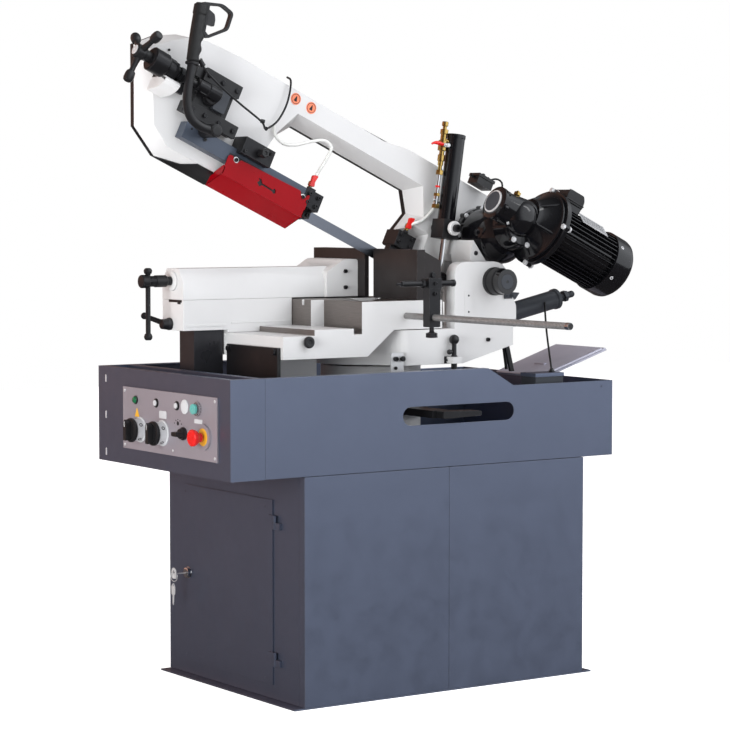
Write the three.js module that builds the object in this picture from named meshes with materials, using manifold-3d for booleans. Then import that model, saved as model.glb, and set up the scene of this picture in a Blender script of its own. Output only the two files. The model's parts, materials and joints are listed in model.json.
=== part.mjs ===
// Swivel-head metal-cutting band saw on a cabinet stand, with a hydraulic down-feed and a screw vise.
// Millimetres. The origin is the centre of the cabinet's underside, on the floor. +X runs along the
// work's outfeed-to-motor side, away from the operator's panel, +Y towards the infeed side, +Z up.
import * as THREE from "three";
import { mergeVertices } from "three/addons/utils/BufferGeometryUtils.js";
import Module from "manifold-3d";

const wasm = await Module();
wasm.setup();

// ---------- driving dimensions ----------
const GAP = 0.35;
const CABINET = { x: 414, y: 313, top: 543, sheet: 3, foot: 28 };
const TRAY = { left: -613, right: 507, y: 313, floor: 544, high: 776, low: 732, sheet: 3, divider: -520 };
const TRAY_STEP = { from: 117, to: 193 };
const SLOT = { from: -136, to: 195, z: 670, height: 44 };
const DOOR = { near: -178, far: 230, bottom: 38, top: 478, thick: 3 };
const DOOR_HINGE = { x: -421, y: -194 };
const PANEL = { x: -613, near: -261, far: 181, bottom: 584, top: 733, thick: 4 };
const SWITCH_Y = [95, -12];
const SWITCH = { z: 634, r: 29, body: 22 };
const SELECTOR = { y: -112, z: 640 };
const ESTOP = { y: -207, z: 639 };
const START = { y: -175, z: 702 };
const TABLE_Z = 940;
const MITRE = { x: -15, y: 0, post: 60, ring: 155, base: 125 };
const ARM = { near: -200, right: 279, bottom: 782, top: 868 };
const DECK = { left: -400, right: -215, near: -200, far: 170, bottom: 808, top: 862 };
const VISE = { near: 50, far: 150, left: -524, parting: 943, top: 1018, bottom: 869 };
const SCREW = { y: 100, z: 988, x: -592 };
const JAW = { face: -15, thick: 24, top: 1062 };
const STOP_ROD = { x: -48, z: 903, r: 8, from: -830, to: -200.4 };
const STOP_BLOCK = { y: -306, half: 16, top: 1012, bottom: 880 };
const PIVOT = { x: 217, z: 982, pin: 20 };
const BOW_RAISED = THREE.MathUtils.degToRad(25);
const WHEEL = { r: 118, front: -850, drive: 5, z: 89, half: 15, rim: 12 };
const BLADE = { width: 27, thick: 1.2, z: -31 };
const CASTING = { near: -30, rim: 20, wall: 7, skin: 9 };
const COVER = { from: 20.4, to: 38 };
const BEAM = { bottom: 152, top: 229 };
const GUIDE_BAR = { from: -880, to: -498, low: -27, high: 13, near: -62, far: -32 };
const DAMPER = { y: -75, c: [-107, 94], b: [141, 985], r: 22.5, rod: 8 };
const MOTOR = { y: -250, z: 166, r: 75, flange: 100, from: 38, cowl: 245, to: 305 };
const GEARBOX = { x: 0, z: 122, r: 70, near: -215, worm: 42, wormFrom: -119 };

// ---------- materials ----------
const paint = (name, color, roughness, metalness = 0) =>
  new THREE.MeshStandardMaterial({ name, color, roughness, metalness });
const MAT = {
  white: paint("white_enamel", 0xe6e4e0, 0.35),
  slate: paint("slate_powder_coat", 0x4a5262, 0.55),
  black: paint("black_paint", 0x141416, 0.4),
  red: paint("red_paint", 0xb81722, 0.4),
  yellow: paint("yellow_plastic", 0xd9b32a, 0.5),
  teal: paint("teal_plastic", 0x2f8c86, 0.5),
  grey: paint("grey_casting", 0x54575c, 0.5, 0.3),
  panel: paint("grey_panel", 0x9a93a0, 0.5, 0.2),
  steel: paint("bare_steel", 0xa9a8a6, 0.35, 1),
  chrome: paint("chrome", 0xd6d8da, 0.12, 1),
  brass: paint("brass", 0xb8923f, 0.3, 1),
  hose: paint("clear_hose", 0xe9e8e2, 0.4),
  cable: paint("cable_sheath", 0x1c1c1e, 0.6),
};

// ---------- geometry helpers ----------
const v3 = (x, y, z) => new THREE.Vector3(x, y, z);

function block([x0, x1], [y0, y1], [z0, z1]) {
  const box = new THREE.BoxGeometry(x1 - x0, y1 - y0, z1 - z0);
  return box.translate((x0 + x1) / 2, (y0 + y1) / 2, (z0 + z1) / 2);
}

// A round bar from a to b, which may be tapered.
function bar(a, b, r, sides = 20, rEnd = r) {
  const start = v3(...a);
  const run = v3(...b).sub(start);
  const turn = new THREE.Quaternion().setFromUnitVectors(v3(0, 1, 0), run.clone().normalize());
  const shape = new THREE.CylinderGeometry(rEnd, r, run.length(), sides);
  return shape.applyQuaternion(turn).translate(...start.addScaledVector(run, 0.5).toArray());
}

const ball = (centre, r) => new THREE.SphereGeometry(r, 10, 7).translate(...centre);

// A closed outline. A point's third number rounds that corner.
function outline(points) {
  const shape = new THREE.Shape();
  const last = points.length;
  points.forEach(([x, y, r = 0], i) => {
    const here = new THREE.Vector2(x, y);
    const before = new THREE.Vector2(...points[(i + last - 1) % last].slice(0, 2));
    const after = new THREE.Vector2(...points[(i + 1) % last].slice(0, 2));
    const start = here.clone().addScaledVector(before.sub(here).normalize(), r);
    const end = here.clone().addScaledVector(after.sub(here).normalize(), r);
    if (i === 0) shape.moveTo(start.x, start.y);
    else shape.lineTo(start.x, start.y);
    if (r > 0) shape.quadraticCurveTo(here.x, here.y, end.x, end.y);
  });
  shape.closePath();
  return shape;
}

const PLANES = {
  xy: [v3(1, 0, 0), v3(0, 1, 0), v3(0, 0, 1)],
  xz: [v3(1, 0, 0), v3(0, 0, 1), v3(0, -1, 0)],
  yz: [v3(0, 1, 0), v3(0, 0, 1), v3(1, 0, 0)],
};

// A flat outline in the named plane, given thickness between two heights on the third axis.
function slab(plane, points, [from, to], curveSegments = 4) {
  const shape = points.isShape ? points : outline(points);
  const solid = new THREE.ExtrudeGeometry(shape, { depth: to - from, bevelEnabled: false, curveSegments });
  const place = new THREE.Matrix4().makeBasis(...PLANES[plane]);
  solid.applyMatrix4(place);
  const third = { xy: "z", xz: "y", yz: "x" }[plane];
  const shift = v3(0, 0, 0);
  shift[third] = plane === "xz" ? to : from;
  return solid.translate(...shift.toArray());
}

const circle = (cx, cy, r, count = 24) =>
  Array.from({ length: count }, (_, i) => {
    const turn = (i / count) * Math.PI * 2;
    return [cx + r * Math.cos(turn), cy + r * Math.sin(turn)];
  });

const arc = (cx, cy, r, fromDeg, toDeg, count) =>
  Array.from({ length: count + 1 }, (_, i) => {
    const turn = THREE.MathUtils.degToRad(fromDeg + ((toDeg - fromDeg) * i) / count);
    return [cx + r * Math.cos(turn), cy + r * Math.sin(turn)];
  });

// A tapered solid between two outlines of equal point count, at y0 and y1.
function loft(ringA, y0, ringB, y1) {
  const count = ringA.length;
  const flat = ringA.map(([x, z]) => new THREE.Vector2(x, z));
  const flip = THREE.ShapeUtils.area(flat) > 0;
  const positions = [...ringA.map(([x, z]) => [x, y0, z]), ...ringB.map(([x, z]) => [x, y1, z])].flat();
  const index = [];
  const face = (a, b, c) => index.push(...(flip ? [a, b, c] : [a, c, b]));
  for (let i = 0; i < count; i += 1) {
    const next = (i + 1) % count;
    face(i, i + count, next);
    face(next, i + count, next + count);
  }
  const capOf = (ring) => THREE.ShapeUtils.triangulateShape(ring.map(([x, z]) => new THREE.Vector2(x, z)), []);
  const isUp = ([a, b, c], ring) =>
    (ring[b][0] - ring[a][0]) * (ring[c][1] - ring[a][1]) >
    (ring[b][1] - ring[a][1]) * (ring[c][0] - ring[a][0]);
  for (const tri of capOf(ringA)) {
    const [a, b, c] = isUp(tri, ringA) === flip ? tri : [tri[0], tri[2], tri[1]];
    face(a, b, c);
  }
  for (const tri of capOf(ringB)) {
    const [a, b, c] = isUp(tri, ringB) === flip ? tri : [tri[0], tri[2], tri[1]];
    face(a + count, c + count, b + count);
  }
  const solid = new THREE.BufferGeometry();
  solid.setAttribute("position", new THREE.Float32BufferAttribute(positions, 3));
  solid.setIndex(index);
  return solid;
}

function toSolid(geometry) {
  const plain = geometry.clone();
  plain.deleteAttribute("normal");
  plain.deleteAttribute("uv");
  const merged = mergeVertices(plain, 1e-4);
  const mesh = new wasm.Mesh({
    numProp: 3,
    vertProperties: new Float32Array(merged.attributes.position.array),
    triVerts: new Uint32Array(merged.index.array),
  });
  return new wasm.Manifold(mesh);
}

function fromSolid(solid) {
  const { vertProperties, triVerts } = solid.getMesh();
  const geometry = new THREE.BufferGeometry();
  geometry.setAttribute("position", new THREE.BufferAttribute(vertProperties, 3));
  geometry.setIndex(new THREE.BufferAttribute(triVerts, 1));
  geometry.computeVertexNormals();
  return geometry;
}

const join = (...parts) => fromSolid(parts.map(toSolid).reduce((all, part) => all.add(part)));
const cut = (base, ...tools) =>
  fromSolid(tools.map(toSolid).reduce((left, tool) => left.subtract(tool), toSolid(base)));

function piece(name, geometry, material) {
  const mesh = new THREE.Mesh(geometry, material);
  mesh.name = name;
  return mesh;
}

const group = (...children) => {
  const made = new THREE.Group();
  made.add(...children);
  return made;
};

// A round cord through hand-placed points.
function cord(name, points, diameter, steps, material) {
  const sides = 8;
  const section = outline(circle(0, 0, diameter / 2, sides));
  const extrudePath = new THREE.CatmullRomCurve3(points.map((p) => v3(...p)), false, "centripetal");
  return piece(name, new THREE.ExtrudeGeometry(section, { steps, extrudePath, bevelEnabled: false }), material);
}

// ---------- cabinet ----------
function cabinet() {
  const { x, y, top, sheet, foot } = CABINET;
  const low = 4 + GAP;
  const front = (name, from, to) =>
    piece(name, slab("xy", [[from, -y], [to, -y], [to, -y + 24], [to - sheet, -y + 24], [to - sheet, -y + sheet],
      [from + sheet, -y + sheet], [from + sheet, -y + 24], [from, -y + 24]], [low, top]), MAT.slate);
  const rear = slab("xy", [[x, -y + 24 + GAP], [x, y], [-x, y], [-x, y - sheet], [x - sheet, y - sheet],
    [x - sheet, -y + 24 + GAP]], [low, top]);
  const doorFrame = cut(
    block([-x, -x + sheet], [-y + 24 + GAP, y - sheet - GAP], [low, top]),
    block([-x - 1, -x + sheet + 1], [DOOR.near + 14, DOOR.far - 14], [DOOR.bottom + 14, DOOR.top - 14]),
  );
  const hinges = [85, 410].map((z) => bar([DOOR_HINGE.x, DOOR_HINGE.y, z], [DOOR_HINGE.x, DOOR_HINGE.y, z + 16], 5, 12));
  const straps = [85, 410].map((z) => block([DOOR_HINGE.x - 1, -x + 1], [DOOR_HINGE.y - 22, DOOR_HINGE.y], [z, z + 16]));
  return group(
    piece("cabinet_floor", block([-x - foot, x + foot], [-y, y], [0, 4]), MAT.slate),
    front("cabinet_front_left_panel", -x, -GAP / 2),
    front("cabinet_front_right_panel", GAP / 2, x),
    piece("cabinet_rear_panel", rear, MAT.slate),
    piece("cabinet_door_frame", join(doorFrame, ...hinges, ...straps), MAT.slate),
  );
}

function cabinetDoor() {
  const { near, far, bottom, top, thick } = DOOR;
  const face = -CABINET.x - GAP;
  const leaf = block([face - thick, face], [near, far], [bottom, top]);
  const knuckle = (z) => join(
    bar([DOOR_HINGE.x, DOOR_HINGE.y, z], [DOOR_HINGE.x, DOOR_HINGE.y, z + 16], 5, 12),
    block([DOOR_HINGE.x - 1, face - 1], [DOOR_HINGE.y, near + 12], [z, z + 16]),
  );
  const lock = bar([face - thick - 7, 214, 258], [face - 1, 214, 258], 11, 16);
  const key = join(
    bar([face - thick - 32, 214, 258], [face - thick - 7 - GAP, 214, 258], 3, 8),
    block([face - thick - 44, face - thick - 30], [213, 215], [246, 270]),
  );
  return group(
    piece("cabinet_door", join(leaf, knuckle(85 + 16 + GAP), knuckle(410 + 16 + GAP), lock), MAT.slate),
    piece("door_key", key, MAT.steel),
  );
}

function coolantTank() {
  const shell = cut(block([-120, 260], [-150, 150], [4 + GAP, 190]), block([-117, 257], [-147, 147], [8, 200]));
  const bridge = block([-119, 0], [-60, 60], [182, 190]);
  const pump = [bar([-55, 0, 60], [-55, 0, 185], 26, 16), bar([-55, 0, 189], [-55, 0, 290], 38, 20)];
  return piece("coolant_tank", join(shell, bridge, ...pump), MAT.slate);
}

// ---------- chip tray and operator's panel ----------
function tray() {
  const { left, right, y, floor, high, low, sheet, divider } = TRAY;
  const profile = [[divider, floor], [right, floor], [right, low], [TRAY_STEP.to, low], [TRAY_STEP.from, high],
    [divider, high]];
  const inner = block([divider + sheet, right - sheet], [-y + sheet, y - sheet], [floor + sheet, high + 1]);
  const slotMid = SLOT.height / 2;
  const slot = [
    ...arc(SLOT.to - slotMid, SLOT.z, slotMid, -90, 90, 8),
    ...arc(SLOT.from + slotMid, SLOT.z, slotMid, 90, 270, 8),
  ];
  const lip = 22;
  const lips = [1, -1].map((side) => slab("xz", [[divider + sheet, high - 3], [TRAY_STEP.from - 2, high - 3],
    [TRAY_STEP.from, high], [divider + sheet, high]], side > 0 ? [y - lip, y - 1] : [-y + 1, -y + lip]));
  const pan = cut(slab("xz", profile, [-y, y]), inner, slab("xz", slot, [-y - 1, -y + sheet + 1]));
  const box = cut(
    block([left, divider - GAP], [-y, y], [floor, high]),
    block([left + sheet, divider - GAP - sheet], [-y + sheet, y - sheet], [floor - 1, high - 30]),
    block([left + 20, divider - GAP - 20], [-y + 20, y - 20], [high - 27, high + 1]),
  );
  return group(
    piece("chip_tray", join(pan, ...lips), MAT.slate),
    piece("control_box", box, MAT.slate),
  );
}

// A disc boss along -X on the operator's panel.
const panelBoss = (y, z, r, from, to, sides = 24) => bar([to, y, z], [from, y, z], r, sides);

function operatorPanel() {
  const { x, near, far, bottom, top, thick } = PANEL;
  const back = x - GAP;
  const face = back - thick;
  const housings = SWITCH_Y.map((y) => panelBoss(y, SWITCH.z, SWITCH.r - 3, face + 1, face - SWITCH.body));
  const plate = block([face, back], [near, far], [bottom, top]);
  const collars = [[START.y, START.z, 17, 5], [SELECTOR.y, SELECTOR.z, 15, 5], [ESTOP.y, ESTOP.z, 30, 6]]
    .map(([y, z, r, out]) => panelBoss(y, z, r, face + 1, face - out));
  return group(piece("control_panel", join(plate, ...housings, ...collars), MAT.panel));
}

const PANEL_FACE = PANEL.x - GAP - PANEL.thick;

function rotaryKnob(name, y) {
  const base = PANEL_FACE - SWITCH.body - GAP;
  const dial = panelBoss(y, SWITCH.z, SWITCH.r, base, base - 9);
  const grip = block([base - 22, base - 8], [y - 6, y + 6], [SWITCH.z - 24, SWITCH.z + 24]);
  return piece(name, join(dial, grip), MAT.black);
}

function selectorKnob() {
  const base = PANEL_FACE - 5 - GAP;
  const dial = panelBoss(SELECTOR.y, SELECTOR.z, 12, base, base - 8);
  const grip = block([base - 24, base - 7], [SELECTOR.y - 11, SELECTOR.y + 11], [SELECTOR.z - 5, SELECTOR.z + 5]);
  return piece("selector_knob", join(dial, grip), MAT.black);
}

function startButton() {
  const base = PANEL_FACE - 5 - 3;
  return piece("start_button", panelBoss(START.y, START.z, 12, base, base - 7), MAT.teal);
}

function stopButton() {
  const base = PANEL_FACE - 6 - 6;
  const stem = panelBoss(ESTOP.y, ESTOP.z, 11, base, base - 12);
  const cap = bar([base - 26, ESTOP.y, ESTOP.z], [base - 11, ESTOP.y, ESTOP.z], 17, 24, 20);
  return piece("emergency_stop", join(stem, cap), MAT.red);
}

// ---------- base casting, vise and jaws ----------
function baseCasting() {
  const table = slab("xy", [[-177, DECK.near], [60, DECK.near], [84, -160, 10], [88, 15, 20], [52, 88, 20],
    [12, 110, 10], [12, 240], [-177, 240]], [ARM.top + 2, TABLE_Z]);
  const pocket = slab("xy", [[-216, -5], [-80, -6], [-150, -150], [-130, -170], [10, -14], [90, -8], [90, 60],
    [60, 75], [8, 14], [-216, 5]], [TABLE_Z - 14, TABLE_Z + 1]);
  const wall = block([DECK.right, -176], [-35, 240], [DECK.bottom, TABLE_Z]);
  const deck = block([DECK.left, -176], [DECK.near, DECK.far], [DECK.bottom, DECK.top]);
  const way = block([-312, -200], [DECK.near, 46], [DECK.top - 1, DECK.top + 14]);
  const skirt = slab("xz", [[-177, ARM.top + 3], [-177, DECK.bottom], [-160, DECK.bottom], [-82, ARM.top + 3]],
    [DECK.near, DECK.near + 30]);
  const post = bar([MITRE.x, 0, ARM.bottom - 12], [MITRE.x, 0, ARM.top + 3], MITRE.post, 36);
  const pedestal = bar([MITRE.x, 0, TRAY.floor + TRAY.sheet + GAP], [MITRE.x, 0, ARM.bottom - 6], MITRE.base, 36);
  const step = block([DECK.left + 40, DECK.right], [-60, 100], [DECK.bottom - 60, DECK.bottom + 1]);
  const leg = block([DECK.left + 60, DECK.left + 140], [-40, 60], [TRAY.floor + TRAY.sheet + GAP, DECK.bottom - 50]);
  return piece("base_casting", cut(join(table, wall, deck, way, skirt, post, pedestal, step, leg), pocket), MAT.white);
}

function viseBase() {
  const { near, far, left, parting, bottom } = VISE;
  const guide = slab("xz", [[left, bottom], [DECK.left, bottom], [DECK.left, DECK.top + GAP],
    [DECK.right - GAP, DECK.top + GAP], [DECK.right - GAP, parting], [left, parting]], [near, far]);
  const post = block([-485, -405], [66, 134], [TRAY.floor + TRAY.sheet + GAP, bottom + 1]);
  const plate = block([DECK.left - 10, DECK.left - GAP], [-190, 40], [738, 836]);
  return group(
    piece("vise_guide", join(guide, post), MAT.white),
    piece("deck_end_plate", plate, MAT.black),
  );
}

function viseSlide() {
  const { near, far, left, parting, top } = VISE;
  const low = parting + GAP;
  const barSection = [[near, low], [far, low], [far, top - 32], [far - 22, top], [near + 22, top], [near, top - 32]];
  const beam = slab("yz", barSection, [left, -60]);
  const head = slab("xz", [[-120, low], [-28, low], [-28, 1036, 8], [-70, 1036, 10], [-120, 1004, 8]], [38, 205]);
  const hole = bar([left - 1, SCREW.y, SCREW.z], [left + 60, SCREW.y, SCREW.z], 14, 20);
  const plate = block([-28 + GAP, JAW.face - 1.5], [8, 240], [low, JAW.top]);
  return group(
    piece("vise_slide", cut(join(beam, head), hole), MAT.white),
    piece("moving_jaw_plate", plate, MAT.black),
  );
}

function viseScrew() {
  const sleeve = bar([SCREW.x - 20, SCREW.y, SCREW.z], [SCREW.x + 50, SCREW.y, SCREW.z], 13, 20);
  const shaft = bar([SCREW.x + 49, SCREW.y, SCREW.z], [VISE.left + 55, SCREW.y, SCREW.z], 11, 16);
  const bore = bar([SCREW.x, SCREW.y, SCREW.z - 20], [SCREW.x, SCREW.y, SCREW.z + 20], 6 + GAP, 12);
  const handle = join(
    bar([SCREW.x, SCREW.y, 862], [SCREW.x, SCREW.y, 1008], 6, 12),
    ball([SCREW.x, SCREW.y, 856], 9),
    ball([SCREW.x, SCREW.y, 1010.5], 9),
  );
  return group(
    piece("vise_screw", cut(join(sleeve, shaft), bore), MAT.black),
    piece("vise_tommy_bar", handle, MAT.black),
  );
}

const LOCK_HUB = [VISE.left - GAP, 112, 884];

function viseLock() {
  const [x, y, z] = LOCK_HUB;
  const lever = join(
    bar([x - 22, y, z], [x, y, z], 13, 16),
    bar([x - 12, y, z], [x - 46, y + 40, z + 18], 6, 12),
    ball([x - 46, y + 40, z + 18], 8),
  );
  return piece("vise_lock_lever", lever, MAT.black);
}

function fixedJaw() {
  const { face, thick, top } = JAW;
  const back = face + thick;
  const low = TABLE_Z + GAP;
  const outfeed = block([face, back], [-199, -12], [low, top]);
  const infeed = block([face, back], [42, 240], [low, top]);
  const outfeedRib = slab("xz", [[back - 1, low], [58, 962], [58, 1034], [back - 1, 1058]], [-197, -62]);
  const infeedRib = slab("xy", [[back - 1, 54], [36, 82], [36, 108], [back - 1, 108]], [low, 1040]);
  return group(
    piece("outfeed_fixed_jaw", join(outfeed, outfeedRib), MAT.grey),
    piece("infeed_fixed_jaw", join(infeed, infeedRib), MAT.grey),
  );
}

function lengthStop() {
  const { x, z, r, from, to } = STOP_ROD;
  const rodSolid = bar([x, from, z], [x, to, z], r, 14);
  const { y, half, top, bottom } = STOP_BLOCK;
  const body = cut(
    join(
      slab("xz", [[x - half, bottom, 4], [x + half, bottom, 4], [x + half, top - 22, 4], [x - half, top - 22, 4]],
        [y - 13, y + 13]),
      bar([x, y, 866], [x, y, bottom + 1], 5, 10),
      bar([x, y, 856], [x, y, 867], 15, 16),
      bar([x - 88, y, 984], [x + 66, y, 984], 7, 12),
      bar([x - 104, y, 984], [x - 87, y, 984], 3, 12, 7),
    ),
    bar([x, y - 20, z], [x, y + 20, z], r + GAP, 14),
  );
  return group(
    piece("length_stop_rod", rodSolid, MAT.steel),
    piece("length_stop_block", body, MAT.black),
  );
}

function trayFittings() {
  const jbox = block([300, 388], [-264, -206], [TRAY.floor + TRAY.sheet + GAP, 752]);
  const drip = slab("xz", [[378, 740], [382, 735], [582, 799], [576, 806, 2], [380, 743]], [-200, 0]);
  const leg = block([440, 456], [-120, -80], [TRAY.floor + TRAY.sheet + GAP, 766]);
  return group(
    piece("junction_box", jbox, MAT.grey),
    piece("drip_plate", join(drip, leg), MAT.panel),
  );
}

// ---------- swivel arm, with the bow's pivot bracket ----------
function swivelArm() {
  const { near, right, bottom, top } = ARM;
  const body = slab("xy", [[-52, near, 14], [right, near], [right, 110, 40], [70, 160, 15], ...arc(MITRE.x, 0, MITRE.ring, 75, 235, 14)],
    [bottom, top]);
  const chamfer = slab("xz", [[120, bottom - 1], [right + 1, bottom - 1], [right + 1, bottom + 41]], [near - 1, 180]);
  const hole = bar([MITRE.x, 0, bottom - 1], [MITRE.x, 0, top + 1], MITRE.post + GAP, 36);
  const { x, z, pin } = PIVOT;
  const nearCheek = slab("xz", [[98, top - 1], [right + 9, top - 1], [right + 9, z - 60, 10], [x + 49, z - 20, 10],
    ...arc(x, z, 49, 0, 90, 5), [98, z + 49, 34]], [near, -165]);
  const farCheek = slab("xz", [[x - 38, top - 1], [x + 38, top - 1], ...arc(x, z, 38, 0, 180, 8)], [-75, -45]);
  const lug = slab("xz", [[118, top - 1], [166, top - 1], [160, DAMPER.b[1], 8], [141, DAMPER.b[1] + 18, 8], [122, DAMPER.b[1], 8]],
    [-62, -46]);
  const pinHolder = cut(
    block([INDEX_PIN.x - 14, INDEX_PIN.x + 14], [-228, near + 1], [784, 800]),
    bar([INDEX_PIN.x, INDEX_PIN.y, 783], [INDEX_PIN.x, INDEX_PIN.y, 801], 6 + GAP, 12),
  );
  const bores = [[near - 1, -164], [-76, -44]].map(([from, to]) => bar([x, from, z], [x, to, z], pin + GAP, 24));
  const lever = slab("xz", [[-30, SLOT.z - 9, 4], [84, SLOT.z - 6, 5], [84, SLOT.z + 6, 5], [-30, SLOT.z + 9, 4]], [-330, -290]);
  const hub = block([-40, 10], [-300, -MITRE.base - 14], [SLOT.z - 9, SLOT.z + 9]);
  const collar = cut(
    bar([MITRE.x, 0, SLOT.z - 14], [MITRE.x, 0, SLOT.z + 14], MITRE.base + 18, 36),
    bar([MITRE.x, 0, SLOT.z - 15], [MITRE.x, 0, SLOT.z + 15], MITRE.base + 1, 36),
  );
  return {
    arm: group(piece("swivel_arm", cut(join(cut(body, chamfer, hole), nearCheek, farCheek, lug, pinHolder), ...bores), MAT.white)),
    lock: piece("mitre_lock_lever", join(collar, hub, lever), MAT.black),
  };
}

function pivotAndSpring() {
  const { x, z, pin } = PIVOT;
  const shaft = join(
    bar([x, -202, z], [x, -45, z], pin, 24),
    bar([x, -256, z], [x, ARM.near - GAP, z], 31, 28),
  );
  const slope = THREE.MathUtils.degToRad(12.2);
  const along = (dist) => [292 + dist * Math.cos(slope), -100, 886 + dist * Math.sin(slope)];
  const tube = join(
    bar(along(0), along(205), 22.5, 24),
    bar(along(200), along(262), 8, 12),
    bar(along(232), along(246), 13, 6),
    block([ARM.right - 8, 300], [-118, -82], [ARM.top + GAP, 900]),
  );
  return group(
    piece("pivot_pin", shaft, MAT.black),
    piece("counter_spring", tube, MAT.grey),
  );
}

const INDEX_PIN = { x: 86, y: -214 };

function indexPin() {
  const { x, y } = INDEX_PIN;
  const stem = bar([x, y, 770], [x, y, 838], 6, 12);
  const latch = join(ball([x - 12, y, 812], 6), bar([x - 12, y, 812], [x, y, 812], 3, 8));
  return piece("index_pin", join(stem, ball([x, y, 842], 11), latch), MAT.black);
}

// ---------- bow, in its own frame: origin on the pivot, blade level, x towards the motor ----------
const { drive: DRIVE_X, front: FRONT_X, z: WHEEL_Z } = WHEEL;

// The C-shaped outline of the bow, drawn in by `inset` from the rim.
function bowOutline(inset) {
  const { bottom, top } = BEAM;
  const roof = inset * 0.25;
  return [
    [-1003 + inset, 178 - roof], [-952 + inset * 0.5, 207 - roof], [-892, 222 - roof], [-800, top - roof],
    [-340, top - roof], [-262, top + 14 - roof], [60 - inset, top + 14 - roof],
    ...arc(DRIVE_X, WHEEL_Z, 140 - inset * 0.7, 52, -112, 12),
    [-96 + inset, -26 + inset * 0.5], [-138 + inset, 14 + inset * 0.5], [-140 + inset, 50 + inset],
    [-190 + inset, 50 + inset], [-172 + inset, 104],
    [-206 + inset, bottom + inset], [-572 - inset, bottom + inset], [-606 - inset, 108], [-628 - inset, 20],
    [-640 - inset, -52], [-727, -78 + inset], [-887, -78 + inset], [-963 + inset, -38 + inset * 0.6],
    [-1044 + inset, 136],
  ];
}

function bowCasting() {
  const { near, rim, wall, skin } = CASTING;
  const shell = loft(bowOutline(22), near, bowOutline(0), rim);
  const hollow = loft(bowOutline(22 + wall - 4), near + skin, bowOutline(wall), rim + 1);
  const bladeWay = block([-700, 0], [-17, 17], [BLADE.z - 17, BLADE.z + 17]);
  const axleWindow = block([FRONT_X - 40, FRONT_X + 40], [near - 1, near + skin + 1], [WHEEL_Z - 24, WHEEL_Z + 24]);
  const shaftHole = bar([DRIVE_X, near - 1, WHEEL_Z], [DRIVE_X, near + skin + 1, WHEEL_Z], 24, 24);
  const boss = bar([0, -160, 0], [0, -80, 0], 34, 28);
  const web = slab("xz", [[-32, -12], [-66, 40], [-72, 78], [20, 28]], [-160, -80]);
  const foot = slab("xz", [[-66, 42], [-72, 77], [-36, 57], [-45, 32]], [-81, near + 1]);
  const bore = bar([0, -161, 0], [0, -79, 0], PIVOT.pin + GAP, 24);
  const opened = cut(shell, hollow, bladeWay, axleWindow, shaftHole);
  return piece("bow_casting", cut(join(opened, boss, web, foot), bore), MAT.white);
}

function bowCover() {
  const edge = bowOutline(0.5);
  const skin = slab("xz", edge, [COVER.from, COVER.to]);
  const hollow = slab("xz", bowOutline(4.5), [COVER.from - 1, COVER.to - 3]);
  return piece("rear_cover", cut(skin, hollow), MAT.black);
}

// The blade: a closed band that lies flat on the wheels and is turned on edge between the guides.
function sawBlade() {
  const { width, thick, z } = BLADE;
  const r = WHEEL_Z - z;
  const stations = [];
  const station = (x, up, normal, twist) => stations.push({ x, up, normal, twist });
  const wheelSteps = 14;
  for (let i = 0; i <= wheelSteps; i += 1) {
    const turn = -Math.PI / 2 + (Math.PI * i) / wheelSteps;
    station(DRIVE_X + r * Math.cos(turn), WHEEL_Z + r * Math.sin(turn), [Math.cos(turn), Math.sin(turn)], 0);
  }
  const back = (i) => DRIVE_X + ((FRONT_X - DRIVE_X) * i) / 12;
  for (let i = 1; i < 12; i += 1) station(back(i), WHEEL_Z + r, [0, 1], 0);
  for (let i = 0; i <= wheelSteps; i += 1) {
    const turn = Math.PI / 2 + (Math.PI * i) / wheelSteps;
    station(FRONT_X + r * Math.cos(turn), WHEEL_Z + r * Math.sin(turn), [Math.cos(turn), Math.sin(turn)], 0);
  }
  const twistSteps = 8;
  const run = (from, to, start, end) => {
    for (let i = 1; i <= twistSteps; i += 1) {
      const share = i / twistSteps;
      const eased = share * share * (3 - 2 * share);
      station(from + (to - from) * share, z, [0, -1], start + (end - start) * eased);
    }
  };
  run(FRONT_X, -520, 0, Math.PI / 2);
  for (const x of [-460, -400, -340, -280, -220]) station(x, z, [0, -1], Math.PI / 2);
  run(-146, DRIVE_X - 6, Math.PI / 2, 0);
  const positions = [];
  for (const { x, up, normal: [nx, nz], twist } of stations) {
    const across = [nx * Math.sin(twist), Math.cos(twist), nz * Math.sin(twist)];
    const out = [nx * Math.cos(twist), -Math.sin(twist), nz * Math.cos(twist)];
    for (const [a, b] of [[1, 1], [-1, 1], [-1, -1], [1, -1]]) {
      const [u, v] = [(a * width) / 2, (b * thick) / 2];
      positions.push(x + across[0] * u + out[0] * v, across[1] * u + out[1] * v, up + across[2] * u + out[2] * v);
    }
  }
  const index = [];
  const count = stations.length;
  for (let i = 0; i < count; i += 1) {
    for (let k = 0; k < 4; k += 1) {
      const a = i * 4 + k;
      const b = i * 4 + ((k + 1) % 4);
      const c = ((i + 1) % count) * 4 + k;
      const d = ((i + 1) % count) * 4 + ((k + 1) % 4);
      index.push(a, c, b, b, c, d);
    }
  }
  const band = new THREE.BufferGeometry();
  band.setAttribute("position", new THREE.Float32BufferAttribute(positions, 3));
  band.setIndex(index);
  return piece("saw_blade", band, MAT.steel);
}

// A flanged wheel turning about Y, with its hub bored or carrying its shaft.
function wheelSolid(x, hubFrom, hubTo) {
  const { r, half, rim } = WHEEL;
  const profile = [[0, hubFrom], [22, hubFrom], [22, -5], [r - rim, -5], [r - rim, -half], [r, -half], [r, half],
    [r - rim, half], [r - rim, 5], [30, 5], [30, hubTo], [0, hubTo]].map(([a, b]) => new THREE.Vector2(a, b));
  return new THREE.LatheGeometry(profile, 32).translate(x, 0, WHEEL_Z);
}

const driveWheel = () => piece("drive_wheel", wheelSolid(DRIVE_X, -19, 17), MAT.grey);

const HEAD = { from: -512, to: -460, low: -46, high: 18 };

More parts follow.
